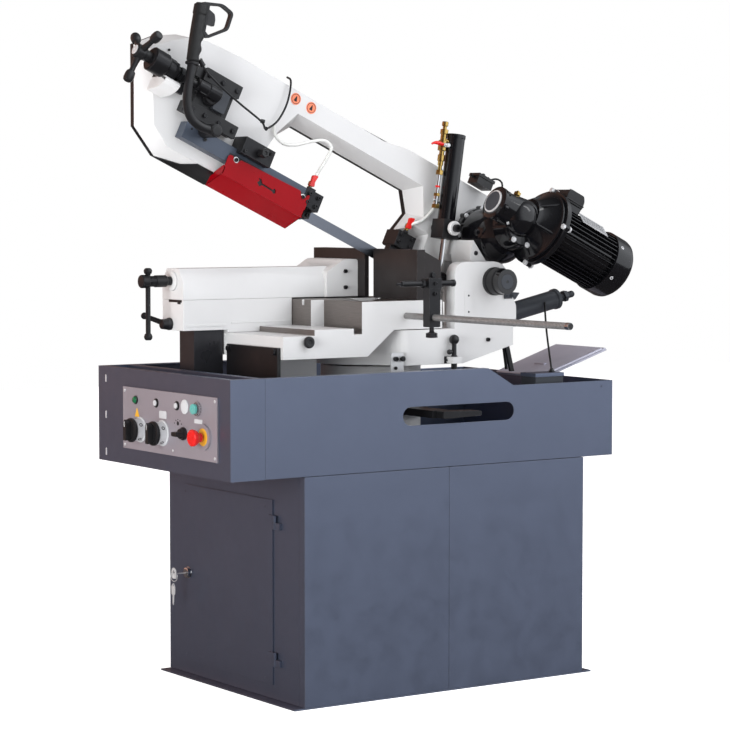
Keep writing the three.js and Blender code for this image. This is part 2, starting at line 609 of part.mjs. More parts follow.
// A guide head: a block with a way through it that the edge-on blade runs in.
function guideHead(from, to, low, high, halfWide, padHalf) {
  const body = join(
    block([from, to], [-halfWide, halfWide], [6, high]),
    block([from, to], [-padHalf, padHalf], [low, 7]),
  );
  return cut(body, block([from - 1, to + 1], [-2, 2], [low - 1, BLADE.z + BLADE.width / 2 + 3]));
}

// The limit switch's lead: a short loop from its gland over the casting's edge.
function switchLead() {
  const route = [[-22, -42, 262], [4, -50, 282], [24, -50, 280], [32, -46, 256], [20, -36, 236]];
  const path = new THREE.CatmullRomCurve3(route.map((p) => v3(...p)), false, "centripetal");
  const section = outline(circle(0, 0, 2.5, 8));
  return new THREE.ExtrudeGeometry(section, { steps: 14, extrudePath: path, bevelEnabled: false });
}

function bowFittings() {
  const clampBody = join(
    block([-731, -643], [-86, CASTING.near - GAP], [GUIDE_BAR.high + GAP, 46]),
    block([-731, -643], [-86, GUIDE_BAR.near - GAP], [4, 46]),
  );
  const guideFrame = cut(
    block([-905, -742], [-62, CASTING.near - GAP], [28, 152]),
    block([-900, -790], [-63, -29], [WHEEL_Z - 30, WHEEL_Z + 30]),
  );
  const screwBlock = cut(
    join(
      block([-1036, -992], [-104, CASTING.near - GAP], [66, 128]),
      block([-993, -904], [-40, CASTING.near - GAP], [66, 128]),
    ),
    bar([-1040, -76, WHEEL_Z + 8], [-980, -76, WHEEL_Z + 8], 10, 16),
  );
  const rearGuide = guideHead(-200, -147, -42, 46, 26, 11);
  const switchBody = join(
    block([-58, -8], [-62, -22], [243 + GAP, 268]),
    bar([-33, -42, 267], [-33, -42, 276], 6, 12),
  );
  return group(
    piece("arm_clamp", clampBody, MAT.black),
    piece("tension_guide", join(guideFrame, screwBlock), MAT.black),
    piece("rear_guide_head", rearGuide, MAT.black),
    piece("limit_switch", join(switchBody, switchLead()), MAT.black),
  );
}

function feedHandle() {
  const y = -112;
  const route = [[-826, 10], [-866, 4], [-905, 14], [-930, 50], [-944, 105], [-952, 132]].map(([x, z]) => v3(x, y, z));
  const path = new THREE.CatmullRomCurve3(route, false, "centripetal");
  const section = outline(circle(0, 0, 12, 12));
  const tube = new THREE.ExtrudeGeometry(section, { steps: 14, extrudePath: path, bevelEnabled: false });
  const grip = bar([-951, y, 128], [-986, y, 262], 17, 16);
  const mount = bar([-832, -124, 10], [-832, GUIDE_BAR.near - GAP - 2, 10], 16, 16);
  const loop = cut(
    slab("xz", [[-968, 262, 6], [-936, 286, 10], [-902, 280, 10], [-900, 236, 10], [-938, 196, 6], [-956, 200]], [y - 6, y + 6]),
    slab("xz", [[-962, 250, 4], [-936, 276, 8], [-912, 272, 6], [-910, 242, 6], [-938, 212, 4], [-950, 214]], [y - 7, y + 7]),
  );
  const trigger = slab("xz", [[-958, 256, 2], [-944, 252, 3], [-934, 226, 3], [-946, 222, 2]], [y - 5, y + 5]);
  const pocket = block([-966, -942], [y - 6, y + 6], [216, 262]);
  return {
    handle: piece("feed_handle", cut(join(tube, grip, mount, loop), pocket), MAT.black),
    trigger: piece("trigger", trigger, MAT.grey),
  };
}

function gearMotor() {
  const { y, z, r, flange, from, cowl, to } = MOTOR;
  const g = GEARBOX;
  const housing = join(
    bar([DRIVE_X, -62, WHEEL_Z + 14], [DRIVE_X, CASTING.near - GAP, WHEEL_Z + 14], 59, 32),
    bar([g.x, g.near, g.z], [g.x, -60, g.z], g.r, 32),
    bar([-20, -262, 148], [-20, g.near + 1, 138], 56, 28),
    bar([-34, -304, 155], [-34, -250, 155], 38, 24),
    bar([g.wormFrom, y, z - 4], [from - 20, y, z], g.worm, 24),
    bar([from - 50, y, z], [from - GAP, y, z], 52, 24, 84),
  );
  const body = join(
    bar([from, y, z], [from + 14, y, z], flange, 36),
    bar([from + 13, y, z], [cowl + 1, y, z], r, 32),
    bar([cowl, y, z], [to - 14, y, z], r + 4, 32),
    bar([to - 15, y, z], [to, y, z], r + 4, 32, r - 12),
    block([60, 106], [y - 34, y + 34], [z + 60, z + r + 7]),
    block([54, 114], [y - 42, y + 42], [z + r + 6, z + r + 40]),
  );
  const motor = cut(body, bar([g.x, g.near - GAP, g.z], [g.x, -60, g.z], g.r + GAP, 32));
  return group(
    piece("gearbox", housing, MAT.black),
    piece("drive_motor", motor, MAT.black),
  );
}

function tensionSlide() {
  const carriage = join(
    block([-886, -806], [-62, -36], [WHEEL_Z - 29, WHEEL_Z + 29]),
    bar([FRONT_X, -100, WHEEL_Z], [FRONT_X, -20, WHEEL_Z], 21, 24),
    bar([-980, -76, WHEEL_Z + 8], [-880, -76, WHEEL_Z + 8], 8, 14),
    block([-890, -870], [-88, -55], [WHEEL_Z - 8, WHEEL_Z + 22]),
  );
  return piece("tension_slide", carriage, MAT.black);
}

const frontWheel = () => piece("front_wheel", wheelSolid(FRONT_X, -19, 17), MAT.grey);

const HANDLE_HUB = [-1066, -76, WHEEL_Z + 8];

function tensionHandle() {
  const [x, y, z] = HANDLE_HUB;
  const arms = [38, 145, -85].flatMap((deg) => {
    const turn = THREE.MathUtils.degToRad(deg);
    const end = [x, y + 70 * Math.cos(turn), z + 70 * Math.sin(turn)];
    return [bar([x, y, z], end, 6, 10), ball(end, 11)];
  });
  return piece("tension_handle", join(bar([x - 14, y, z], [x + 28, y, z], 15, 18), ...arms), MAT.black);
}

function guideArm() {
  const { from, to, low, high, near, far } = GUIDE_BAR;
  const arm = block([from, to], [near, far], [low, high]);
  const head = join(
    guideHead(HEAD.from, HEAD.to, HEAD.low, HEAD.high, 30, 13),
    block([HEAD.from, HEAD.to - 12], [near, -29], [low, high]),
  );
  const plate = slab("yz", [[-68, -12], [-68, -60], [-16, -90], [-13, -86.5], [-65, -57.5], [-65, -12]], [-748, -502]);
  const notch = slab("yz", [[-70, -13], [-67 + 2, -13], [-67 + 2, 0], [-70, 0]], [-700, -640]);
  const strip = block([-745, -505], [-68, near - GAP], [-22, -6]);
  return group(
    piece("guide_arm", join(arm, head), MAT.slate),
    piece("blade_guard", cut(join(plate, strip), notch), MAT.red),
  );
}

function damper() {
  const [cx, cz] = DAMPER.c;
  const { y, r, rod } = DAMPER;
  const dx = DAMPER.b[0] - PIVOT.x;
  const dz = DAMPER.b[1] - PIVOT.z;
  const bx = dx * Math.cos(BOW_RAISED) - dz * Math.sin(BOW_RAISED);
  const bz = dx * Math.sin(BOW_RAISED) + dz * Math.cos(BOW_RAISED);
  const axis = v3(cx - bx, 0, cz - bz).normalize();
  const at = (dist) => [cx + axis.x * dist, y, cz + axis.z * dist];
  const shell = join(
    bar(at(18), at(236), r, 28),
    bar(at(-26), at(20), r + 4, 8),
    bar([cx, -108, cz], [cx, CASTING.near - GAP, cz], 13, 20),
  );
  const tube = cut(shell, bar(at(-40), at(228), rod + GAP, 16));
  const fork = [bx, y, bz];
  const rodSolid = join(
    bar(at(185), fork, rod, 14),
    bar([bx, -85, bz], [bx, -66, bz], 17, 20),
  );
  const side = [cx + axis.x * 150 - 34, y + 8, cz + axis.z * 150];
  const up = (dist) => [side[0] + axis.x * dist, side[1], side[2] + axis.z * dist];
  const valve = join(
    bar(up(-6), up(92), 7, 12),
    bar(up(88), up(104), 5, 10),
    bar(up(30), up(56), 11, 6),
    bar(up(60), [up(60)[0] + 8, side[1] - 1, up(60)[2] - 2], 5, 10),
  );
  const hub = up(44);
  const reach = (dist) => [hub[0] + axis.z * dist, hub[1] - 22, hub[2] - axis.x * dist];
  const lever = join(
    bar([hub[0], hub[1] - 22, hub[2]], [hub[0], hub[1] - 12, hub[2]], 5, 10),
    bar(reach(5), reach(-48), 4, 10),
  );
  return {
    tube: group(piece("damper_tube", tube, MAT.black), piece("flow_valve", valve, MAT.brass)),
    rod: piece("damper_rod", rodSolid, MAT.chrome),
    lever: piece("valve_lever", lever, MAT.red),
  };
}

function bowCords() {
  const near = CASTING.near - 8;
  const hose = [[-649, near, 116], [-636, near, 96], [-606, near, 88], [-577, near, 98], [-535, near, 128],
    [-500, near, 146], [-478, near, 140], [-476, near + 4, 112], [-482, near + 8, 72], [-486, near + 14, 22]];
  const rearHose = [[-132, near, 150], [-142, near, 118], [-158, near, 90], [-172, near, 78], [-181, near + 10, 64], [-182, near + 12, 50]];
  const trigger = [[-932, -112, 140], [-908, -112, 126], [-850, -110, 110], [-790, -100, 102], [-712, -92, 92],
    [-674, -54, 94], [-650, near - 9, 124], [-641, near - 7, 170], [-645, near - 3, 214], [-650, near + 3, 236],
    [-652, near + 20, 243]];
  return group(
    cord("front_coolant_hose", hose, 8, 40, MAT.hose),
    cord("rear_coolant_hose", rearHose, 8, 20, MAT.hose),
    cord("trigger_cable", trigger, 5, 44, MAT.cable),
  );
}

const junctionCable = () =>
  cord("junction_cable", [[474, -128, 921], [478, -134, 890], [470, -150, 850], [440, -180, 800], [400, -204, 772],
    [364, -222, 768], [354, -236, 763], [354, -236, 753.5]], 5, 26, MAT.cable);

// ---------- assembly ----------
function bow() {
  const { handle, trigger } = feedHandle();
  const { tube, rod, lever } = damper();
  const all = group(
    bowCasting(), bowCover(), sawBlade(), bowFittings(), handle, trigger, gearMotor(), driveWheel(),
    group(tensionSlide(), frontWheel()), tensionHandle(), guideArm(), tube, rod, lever, bowCords(),
  );
  all.position.set(PIVOT.x, 0, PIVOT.z);
  all.rotation.y = BOW_RAISED;
  return all;
}

const swivel = swivelArm();

export default group(
  cabinet(), cabinetDoor(), coolantTank(), tray(), operatorPanel(),
  rotaryKnob("main_switch_knob", SWITCH_Y[0]), rotaryKnob("speed_switch_knob", SWITCH_Y[1]), selectorKnob(),
  startButton(), stopButton(),
  baseCasting(), viseBase(), viseSlide(), viseScrew(), viseLock(), fixedJaw(),
  lengthStop(), trayFittings(),
  swivel.arm, swivel.lock, pivotAndSpring(), indexPin(), junctionCable(),
  bow(),
);
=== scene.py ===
"""Looks of the swivel-head band saw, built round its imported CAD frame.

Made pieces are drawn in millimetres, either in the row frame (STAND) or in the bow's own frame (BOW): origin on
the bow's pivot, x towards the motor along the blade, z up off the blade.
"""

import json
import math

import bmesh
import bpy
from mathutils import Matrix, Vector


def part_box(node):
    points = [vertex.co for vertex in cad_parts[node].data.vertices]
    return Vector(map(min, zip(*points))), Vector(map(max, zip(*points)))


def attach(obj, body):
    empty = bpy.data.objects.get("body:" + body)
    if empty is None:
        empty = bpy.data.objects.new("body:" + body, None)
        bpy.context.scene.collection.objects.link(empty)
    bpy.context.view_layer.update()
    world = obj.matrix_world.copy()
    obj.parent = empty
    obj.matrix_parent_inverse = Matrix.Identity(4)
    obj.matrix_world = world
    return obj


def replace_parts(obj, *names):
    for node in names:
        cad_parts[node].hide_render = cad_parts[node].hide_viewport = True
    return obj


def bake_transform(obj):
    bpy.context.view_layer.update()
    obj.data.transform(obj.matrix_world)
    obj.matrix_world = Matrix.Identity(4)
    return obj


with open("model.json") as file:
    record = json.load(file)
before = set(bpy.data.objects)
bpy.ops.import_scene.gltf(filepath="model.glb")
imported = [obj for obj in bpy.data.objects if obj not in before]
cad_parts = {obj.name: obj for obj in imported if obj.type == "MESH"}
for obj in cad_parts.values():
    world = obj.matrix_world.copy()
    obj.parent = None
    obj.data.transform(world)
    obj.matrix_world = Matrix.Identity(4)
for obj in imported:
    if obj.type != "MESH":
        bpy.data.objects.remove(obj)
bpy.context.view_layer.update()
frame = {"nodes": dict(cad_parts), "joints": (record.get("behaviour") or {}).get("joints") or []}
JOINTS = {joint["name"]: joint for joint in frame["joints"]}
NODES = frame["nodes"]

MM = 0.001
TILT = math.radians(25)
STAND = Matrix.Scale(MM, 4)
BOW = Matrix.Translation(JOINTS["bow_lift"]["pos_m"]) @ Matrix.Rotation(TILT, 4, "Y") @ Matrix.Scale(MM, 4)


# ---------- camera ----------
def make_camera():
    yaw, pitch = math.radians(34.27), math.radians(3.72)
    forward = Vector((math.sin(yaw) * math.cos(pitch), math.cos(yaw) * math.cos(pitch), -math.sin(pitch)))
    right = Vector((math.cos(yaw), -math.sin(yaw), 0))
    data = bpy.data.cameras.new("camera")
    data.lens = 122.5
    data.sensor_width = 36
    camera = bpy.data.objects.new("camera", data)
    bpy.context.scene.collection.objects.link(camera)
    turn = Matrix((right, right.cross(forward), -forward)).transposed()
    camera.matrix_world = Matrix.Translation((-3.509, -5.103, 1.174)) @ turn.to_4x4()
    bpy.context.scene.camera = camera


make_camera()


# ---------- outlines and paths ----------
def rounded(points, steps=4):
    """A closed outline. A point's third number rounds that corner."""
    out = []
    count = len(points)
    for i, point in enumerate(points):
        here = Vector(point[:2])
        r = point[2] if len(point) > 2 else 0
        if not r:
            out.append(here)
            continue
        start = here + (Vector(points[i - 1][:2]) - here).normalized() * r
        end = here + (Vector(points[(i + 1) % count][:2]) - here).normalized() * r
        for k in range(steps + 1):
            t = k / steps
            out.append(start * (1 - t) ** 2 + here * 2 * t * (1 - t) + end * t * t)
    return out


def ring(cx, cy, r, count=24, start=0.0):
    turns = [start + 2 * math.pi * i / count for i in range(count)]
    return [Vector((cx + r * math.cos(a), cy + r * math.sin(a))) for a in turns]


def rect(x0, x1, y0, y1, r=0):
    return rounded([(x0, y0, r), (x1, y0, r), (x1, y1, r), (x0, y1, r)])


def through(points, steps):
    """A smooth centripetal curve through the points, as evenly spaced places along it."""
    pts = [Vector(p) for p in points]
    pts = [pts[0] * 2 - pts[1], *pts, pts[-1] * 2 - pts[-2]]
    dense = []
    for a, b, c, d in zip(pts, pts[1:], pts[2:], pts[3:]):
        t1 = (b - a).length ** 0.5
        t2 = t1 + (c - b).length ** 0.5
        t3 = t2 + (d - c).length ** 0.5
        for k in range(24):
            t = t1 + (t2 - t1) * k / 24
            ab = a.lerp(b, t / t1)
            bc = b.lerp(c, (t - t1) / (t2 - t1))
            cd = c.lerp(d, (t - t2) / (t3 - t2))
            abc = ab.lerp(bc, t / t2)
            bcd = bc.lerp(cd, (t - t1) / (t3 - t1))
            dense.append(abc.lerp(bcd, (t - t1) / (t2 - t1)))
    dense.append(pts[-2])
    marks = [0.0]
    for a, b in zip(dense, dense[1:]):
        marks.append(marks[-1] + (b - a).length)
    out = []
    at = 0
    for k in range(steps + 1):
        want = marks[-1] * k / steps
        while at < len(dense) - 2 and marks[at + 1] < want:
            at += 1
        share = (want - marks[at]) / max(marks[at + 1] - marks[at], 1e-9)
        out.append(dense[at].lerp(dense[at + 1], min(max(share, 0), 1)))
    return out


def run_length(path):
    return sum((b - a).length for a, b in zip(path, path[1:]))


# ---------- solids ----------
PLANES = {
    "xy": (Vector((1, 0, 0)), Vector((0, 1, 0)), Vector((0, 0, 1))),
    "xz": (Vector((1, 0, 0)), Vector((0, 0, 1)), Vector((0, 1, 0))),
    "yz": (Vector((0, 1, 0)), Vector((0, 0, 1)), Vector((1, 0, 0))),
}


class Shape:
    """Closed solids, in millimetres, that together become one piece."""

    def __init__(self, place=STAND):
        self.bm = bmesh.new()
        self.place = place

    def _skin(self, rings, closed=False):
        made = [[self.bm.verts.new(p) for p in loop] for loop in rings]
        faces = []
        pairs = list(zip(made, made[1:])) + ([(made[-1], made[0])] if closed else [])
        for low, high in pairs:
            count = len(low)
            for i in range(count):
                j = (i + 1) % count
                faces.append(self.bm.faces.new((low[i], low[j], high[j], high[i])))
        if not closed:
            faces.append(self.bm.faces.new(list(reversed(made[0]))))
            faces.append(self.bm.faces.new(made[-1]))
        bmesh.ops.recalc_face_normals(self.bm, faces=faces)
        return self

    def slab(self, plane, outline, low, high, holes=()):
        """An outline in a plane, with holes through it, between two heights on the plane's third axis."""
        u, v, w = PLANES[plane]
        put = lambda p, h: u * p[0] + v * p[1] + w * h
        if not holes:
            return self._skin([[put(p, low) for p in outline], [put(p, high) for p in outline]])
        edges = []
        for loop in (outline, *holes):
            verts = [self.bm.verts.new(put(p, low)) for p in loop]
            edges += [self.bm.edges.new((a, b)) for a, b in zip(verts, verts[1:] + verts[:1])]
        flat = bmesh.ops.triangle_fill(self.bm, use_beauty=True, edges=edges)["geom"]
        faces = [g for g in flat if isinstance(g, bmesh.types.BMFace)]
        grown = bmesh.ops.extrude_face_region(self.bm, geom=faces, use_keep_orig=True)["geom"]
        lifted = [g for g in grown if isinstance(g, bmesh.types.BMVert)]
        bmesh.ops.translate(self.bm, verts=lifted, vec=w * (high - low))
        every = set(faces) | {f for vert in lifted for f in vert.link_faces}
        bmesh.ops.recalc_face_normals(self.bm, faces=list(every))
        return self

    def box(self, x, y, z):
        return self.slab("xy", rect(*x, *y), *z)

    def turned(self, origin, axis, profile, sides=32, start=0.0):
        """A profile of (distance along the axis, radius) points, turned about it."""
        axis = Vector(axis).normalized()
        side = axis.orthogonal().normalized()
        up = axis.cross(side)
        rings = []
        for along, r in profile:
            centre = Vector(origin) + axis * along
            rings.append([centre + (side * p.x + up * p.y) * max(r, 0.05) for p in ring(0, 0, 1, sides,
                start)])
        return self._skin(rings)

    def rod(self, a, b, r, sides=24, chamfer=0.6, end=None):
        end = r if end is None else end
        length = (Vector(b) - Vector(a)).length
        c = min(chamfer, length / 4)
        return self.turned(a, Vector(b) - Vector(a), [(0, r - c), (c, r), (length - c, end),
            (length, end - c)], sides)

    def washer(self, origin, axis, inner, outer, thick, sides=32):
        axis = Vector(axis).normalized()
        side = axis.orthogonal().normalized()
        up = axis.cross(side)
        rings = []
        for along, r in ((0, inner), (0, outer), (thick, outer), (thick, inner)):
            centre = Vector(origin) + axis * along
            rings.append([centre + (side * p.x + up * p.y) * r for p in ring(0, 0, 1, sides)])
        return self._skin(rings, closed=True)

    def ball(self, centre, r, squash=1.0):
        bands = [math.pi * k / 12 for k in range(13)]
        return self.turned(centre, (0, 0, 1), [(-r * squash * math.cos(a), r * math.sin(a)) for a in bands],
            24)

    def sweep(self, path, r, sides=14, flat=1.0):
        """A tube along a path. r is a number, or gives the radius for a share of the way."""
        radius = r if callable(r) else lambda share: r
        points = [Vector(p) for p in path]
        rings = []
        side = None
        for i, point in enumerate(points):
            along = (points[min(i + 1, len(points) - 1)] - points[max(i - 1, 0)]).normalized()
            side = along.orthogonal() if side is None else side - along * side.dot(along)
            side.normalize()
            up = along.cross(side)
            size = radius(i / (len(points) - 1))
            rings.append([point + (side * p.x + up * p.y * flat) * size for p in ring(0, 0, 1, sides)])
        return self._skin(rings)

    def hexagon(self, at, axis, across, height, sides=6):
        r = across / 2 / math.cos(math.pi / sides)
        return self.turned(at, axis, [(0, r), (height - across * 0.05, r), (height, r * 0.9)], sides, 0.3)

    def hex_bolt(self, at, axis, across, washer=True):
        """A hexagon head on its washer."""
        axis = Vector(axis).normalized()
        lift = across * 0.1 if washer else 0
        if washer:
            self.turned(at, axis, [(0, across * 0.72), (lift, across * 0.72)], 20)
        return self.hexagon(Vector(at) + axis * lift, axis, across, across * 0.42)

    def cap_screw(self, at, axis, r):
        """A socket cap screw's head, with its recess."""
        return self.turned(at, axis, [(0, r), (r * 1.1, r), (r * 1.25, r * 0.88), (r * 1.25, r * 0.5),
            (r * 0.6, r * 0.46)], 16)

    def flat_screw(self, at, axis, r):
        return self.turned(at, axis, [(0, r), (r * 0.25, r * 0.9), (r * 0.32, r * 0.45),
            (r * 0.05, r * 0.38)], 14)


def smooth_group():
    """Faces shade smooth, and edges sharper than 34 degrees stay crisp."""
    group = bpy.data.node_groups.new("smooth_by_angle", "GeometryNodeTree")
    group.interface.new_socket("Geometry", in_out="INPUT", socket_type="NodeSocketGeometry")
    group.interface.new_socket("Geometry", in_out="OUTPUT", socket_type="NodeSocketGeometry")
    add = group.nodes.new
    start, end = add("NodeGroupInput"), add("NodeGroupOutput")
    angle = add("GeometryNodeInputMeshEdgeAngle")
    soft = add("FunctionNodeCompare")
    soft.operation = "LESS_THAN"
    soft.inputs[1].default_value = math.radians(34)
    faces, edges = add("GeometryNodeSetShadeSmooth"), add("GeometryNodeSetShadeSmooth")
    faces.domain = "FACE"
    edges.domain = "EDGE"
    link = group.links.new
    link(start.outputs[0], faces.inputs["Geometry"])
    link(angle.outputs["Unsigned Angle"], soft.inputs[0])
    link(soft.outputs[0], edges.inputs["Shade Smooth"])
    link(faces.outputs[0], edges.inputs["Geometry"])
    link(edges.outputs[0], end.inputs[0])
    return group


SMOOTH = smooth_group()


def soften(obj, bevel, segments=2):
    """Rounds an object's edges and smooths its curved faces, without touching its mesh."""
    if bevel:
        edges = obj.modifiers.new("edges", "BEVEL")
        edges.width = bevel * MM
        edges.segments = segments
        edges.limit_method = "ANGLE"
        edges.angle_limit = math.radians(36)
        edges.use_clamp_overlap = True
        edges.harden_normals = False
    obj.modifiers.new("smooth", "NODES").node_group = SMOOTH
    even = obj.modifiers.new("even", "WEIGHTED_NORMAL")
    even.weight = 90
    even.keep_sharp = True


def piece(name, shape, body, finish, bevel=0.5, segments=2):
    mesh = bpy.data.meshes.new(name)
    shape.bm.transform(shape.place)
    shape.bm.to_mesh(mesh)
    shape.bm.free()
    obj = bpy.data.objects.new(name, mesh)
    bpy.context.scene.collection.objects.link(obj)
    mesh.materials.append(finish)
    soften(obj, bevel, segments)
    if isinstance(body, tuple):
        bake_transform(obj)
    else:
        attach(obj, body)
    return obj


def dress(finish, bevel, *names):
    """Gives CAD nodes a finish and softened edges."""
    for name in names:
        obj = NODES[name]
        obj.data.materials.clear()
        obj.data.materials.append(finish)
        weld = obj.modifiers.new("weld", "WELD")
        weld.merge_threshold = 1e-5
        if bevel:
            flat = obj.modifiers.new("flat", "DECIMATE")
            flat.decimate_type = "DISSOLVE"
            flat.angle_limit = math.radians(1)
        soften(obj, bevel)


# ---------- finishes ----------
def mix_colours(tree, share, a, b):
    """Colour a where share is 0, and b where it is 1. Either may be another node's colour."""
    node = tree.nodes.new("ShaderNodeMix")
    node.data_type = "RGBA"
    tree.links.new(share, node.inputs["Factor"])
    for colour, socket in ((a, node.inputs[6]), (b, node.inputs[7])):
        if isinstance(colour, tuple):
            socket.default_value = (*colour, 1)
        else:
            tree.links.new(colour, socket)
    return node.outputs[2]


class Nodes:
    """A material's node tree, with the few steps that every finish shares."""

    def __init__(self, name, rough, metallic=0.0, coat=0.0, coat_rough=0.1, specular=0.5):
        self.material = bpy.data.materials.new(name)
        self.material.use_nodes = True
        self.tree = self.material.node_tree
        self.shader = self.tree.nodes["Principled BSDF"]
        self.set("Roughness", rough)
        self.set("Metallic", metallic)
        self.set("Coat Weight", coat)
        self.set("Coat Roughness", coat_rough)
        self.set("Specular IOR Level", specular)
        self.place = self.add("ShaderNodeTexCoord").outputs["Object"]

    def add(self, kind, **settings):
        node = self.tree.nodes.new(kind)
        for key, value in settings.items():
            setattr(node, key, value)
        return node

    def link(self, output, target):
        self.tree.links.new(output, target)

    def set(self, socket, value):
        self.shader.inputs[socket].default_value = value

    def noise(self, scale, detail=3.0, stretch=None, rough=0.5):
        node = self.add("ShaderNodeTexNoise")
        node.inputs["Scale"].default_value = scale
        node.inputs["Detail"].default_value = detail
        node.inputs["Roughness"].default_value = rough
        source = self.place
        if stretch:
            mapping = self.add("ShaderNodeMapping")
            mapping.inputs["Scale"].default_value = stretch
            self.link(source, mapping.inputs["Vector"])
            source = mapping.outputs["Vector"]
        self.link(source, node.inputs["Vector"])
        return node.outputs["Fac"]

    def spread(self, value, low, high, start=0.3, end=0.7):
        node = self.add("ShaderNodeMapRange")
        node.inputs["From Min"].default_value = start
        node.inputs["From Max"].default_value = end
        node.inputs["To Min"].default_value = low
        node.inputs["To Max"].default_value = high
        self.link(value, node.inputs["Value"])
        return node.outputs["Result"]

    def blend(self, share, a, b):
        return mix_colours(self.tree, share, a, b)

    def worn_edge(self, radius, low=0.004, high=0.09):
        """1 along edges and 0 on faces: how far a rounded normal leans from the face's own."""
        bevel = self.add("ShaderNodeBevel", samples=4)
        bevel.inputs["Radius"].default_value = radius
        plain = self.add("ShaderNodeNewGeometry")
        lean = self.add("ShaderNodeVectorMath", operation="DOT_PRODUCT")
        self.link(bevel.outputs["Normal"], lean.inputs[0])
        self.link(plain.outputs["True Normal"], lean.inputs[1])
        return self.spread(lean.outputs["Value"], 1, 0, 1 - high, 1 - low)

    def bump(self, height, strength, distance, below=None):
        node = self.add("ShaderNodeBump")
        node.inputs["Strength"].default_value = strength
        node.inputs["Distance"].default_value = distance
        self.link(height, node.inputs["Height"])
        if below:
            self.link(below, node.inputs["Normal"])
        self.link(node.outputs["Normal"], self.shader.inputs["Normal"])
        return node.outputs["Normal"]

    def colour(self, output):
        self.link(output, self.shader.inputs["Base Color"])


def shade(colour, factor):
    return tuple(min(1.0, c * factor) for c in colour)


def paint(name, colour, rough, metallic=0.0, coat=0.0, mottle=0.06, peel=0.1, peel_size=420, cast=0.0,
    edge=None,
          coat_rough=0.1, specular=0.5):
    """Sprayed paint: slight cloudiness, orange peel, a cast surface's unevenness and edges rubbed to `edge`."""
    n = Nodes(name, rough, metallic, coat, coat_rough, specular)
    cloud = n.noise(9, 4)
    tone = n.blend(n.spread(cloud, 0, 1), shade(colour, 1 - mottle), shade(colour, 1 + mottle))
    if edge:
        rubbed = n.add("ShaderNodeMath", operation="MULTIPLY")
        n.link(n.worn_edge(0.0012), rubbed.inputs[0])
        n.link(n.spread(n.noise(60, 4), 0.05, 0.8, 0.42, 0.62), rubbed.inputs[1])
        tone = n.blend(rubbed.outputs[0], tone, edge)
    n.colour(tone)
    n.link(n.spread(n.noise(24, 4), rough * 0.85, min(1, rough * 1.2)), n.shader.inputs["Roughness"])
    below = n.bump(n.noise(38, 5), 0.5 * cast, 0.004) if cast else None
    n.bump(n.noise(peel_size, 2), peel, 0.0006, below)
    return n.material


def machined(name, colour, rough, lines=(1, 1, 40), metallic=1.0, mottle=0.12, streak=0.25):
    """Bare metal with the fine parallel marks of the cutter that faced it."""
    n = Nodes(name, rough, metallic)
    marks = n.noise(30, 6, stretch=lines, rough=0.7)
    stain = n.noise(7, 5)
    tone = n.blend(n.spread(marks, 0, 1), shade(colour, 1 - mottle), shade(colour, 1 + mottle))
    n.colour(n.blend(n.spread(stain, 0, 0.35), tone, shade(colour, 0.7)))
    n.link(n.spread(marks, rough * (1 - streak), rough * (1 + streak)), n.shader.inputs["Roughness"])
    n.bump(marks, 0.12, 0.0004)
    return n.material


def moulded(name, colour, rough, grain=0.25, size=900, mottle=0.05, coat=0.0, specular=0.5):
    """Moulded plastic or rubber with a fine spark-eroded grain."""
    n = Nodes(name, rough, coat=coat, specular=specular)
    n.colour(n.blend(n.spread(n.noise(30, 3), 0, 1), shade(colour, 1 - mottle), shade(colour, 1 + mottle)))
    n.link(n.spread(n.noise(70, 3), rough * 0.85, min(1, rough * 1.2)), n.shader.inputs["Roughness"])
    n.bump(n.noise(size, 3), grain, 0.0003)
    return n.material


WHITE = (0.69, 0.682, 0.678)
SLATE = (0.158, 0.185, 0.262)
BARE = (0.26, 0.235, 0.22)

ENAMEL = paint("white_enamel", WHITE, 0.34, coat=0.15, mottle=0.02, peel=0.12, cast=0.05, specular=0.4)
COAT = paint("slate_coat", SLATE, 0.38, metallic=0.8, coat=0.1, coat_rough=0.3, mottle=0.02, peel=0.1,
             edge=(0.2, 0.2, 0.22))
STEEL_BLUE = paint("guide_bar_paint", (0.07, 0.085, 0.115), 0.38, metallic=0.4, mottle=0.08,
    edge=(0.22, 0.23, 0.25))
GLOSS = paint("black_gloss", (0.004, 0.004, 0.005), 0.13, coat=0.35, specular=0.35, mottle=0.1, peel=0.12,
    cast=0.06, coat_rough=0.05)
SATIN = paint("black_satin", (0.009, 0.009, 0.010), 0.42, mottle=0.15, peel=0.2, edge=(0.06, 0.06, 0.065))
OXIDE = paint("black_oxide", (0.018, 0.018, 0.02), 0.34, metallic=0.5, mottle=0.2, peel=0.1,
    edge=(0.12, 0.12, 0.125))
JAW = paint("jaw_oxide", (0.030, 0.026, 0.026), 0.4, metallic=0.45, mottle=0.15, peel=0.12,
    edge=(0.16, 0.15, 0.15))
RED = paint("red_guard", (0.27, 0.001, 0.005), 0.32, mottle=0.05, peel=0.12, edge=(0.4, 0.01, 0.02),
    specular=0.16)
PLATE = paint("grey_panel", (0.34, 0.31, 0.345), 0.4, metallic=0.35, mottle=0.03, peel=0.05)
SMOKE = paint("smoked_black", (0.035, 0.035, 0.04), 0.3, metallic=0.5, mottle=0.1, peel=0.1)
IRON = paint("grey_casting", (0.055, 0.06, 0.07), 0.5, metallic=0.3, mottle=0.15, peel=0.2, cast=0.1)
BLACK = moulded("black_plastic", (0.012, 0.012, 0.013), 0.36, coat=0.05)
GRIP = moulded("grip_rubber", (0.012, 0.012, 0.012), 0.5, grain=0.5, size=500)
PALE = moulded("pale_plastic", (0.56, 0.565, 0.58), 0.36, grain=0.15)
RED_PLASTIC = moulded("red_plastic", (0.70, 0.014, 0.012), 0.24, grain=0.08, coat=0.3)
TEAL = moulded("teal_plastic", (0.12, 0.42, 0.38), 0.3, grain=0.08, coat=0.25)
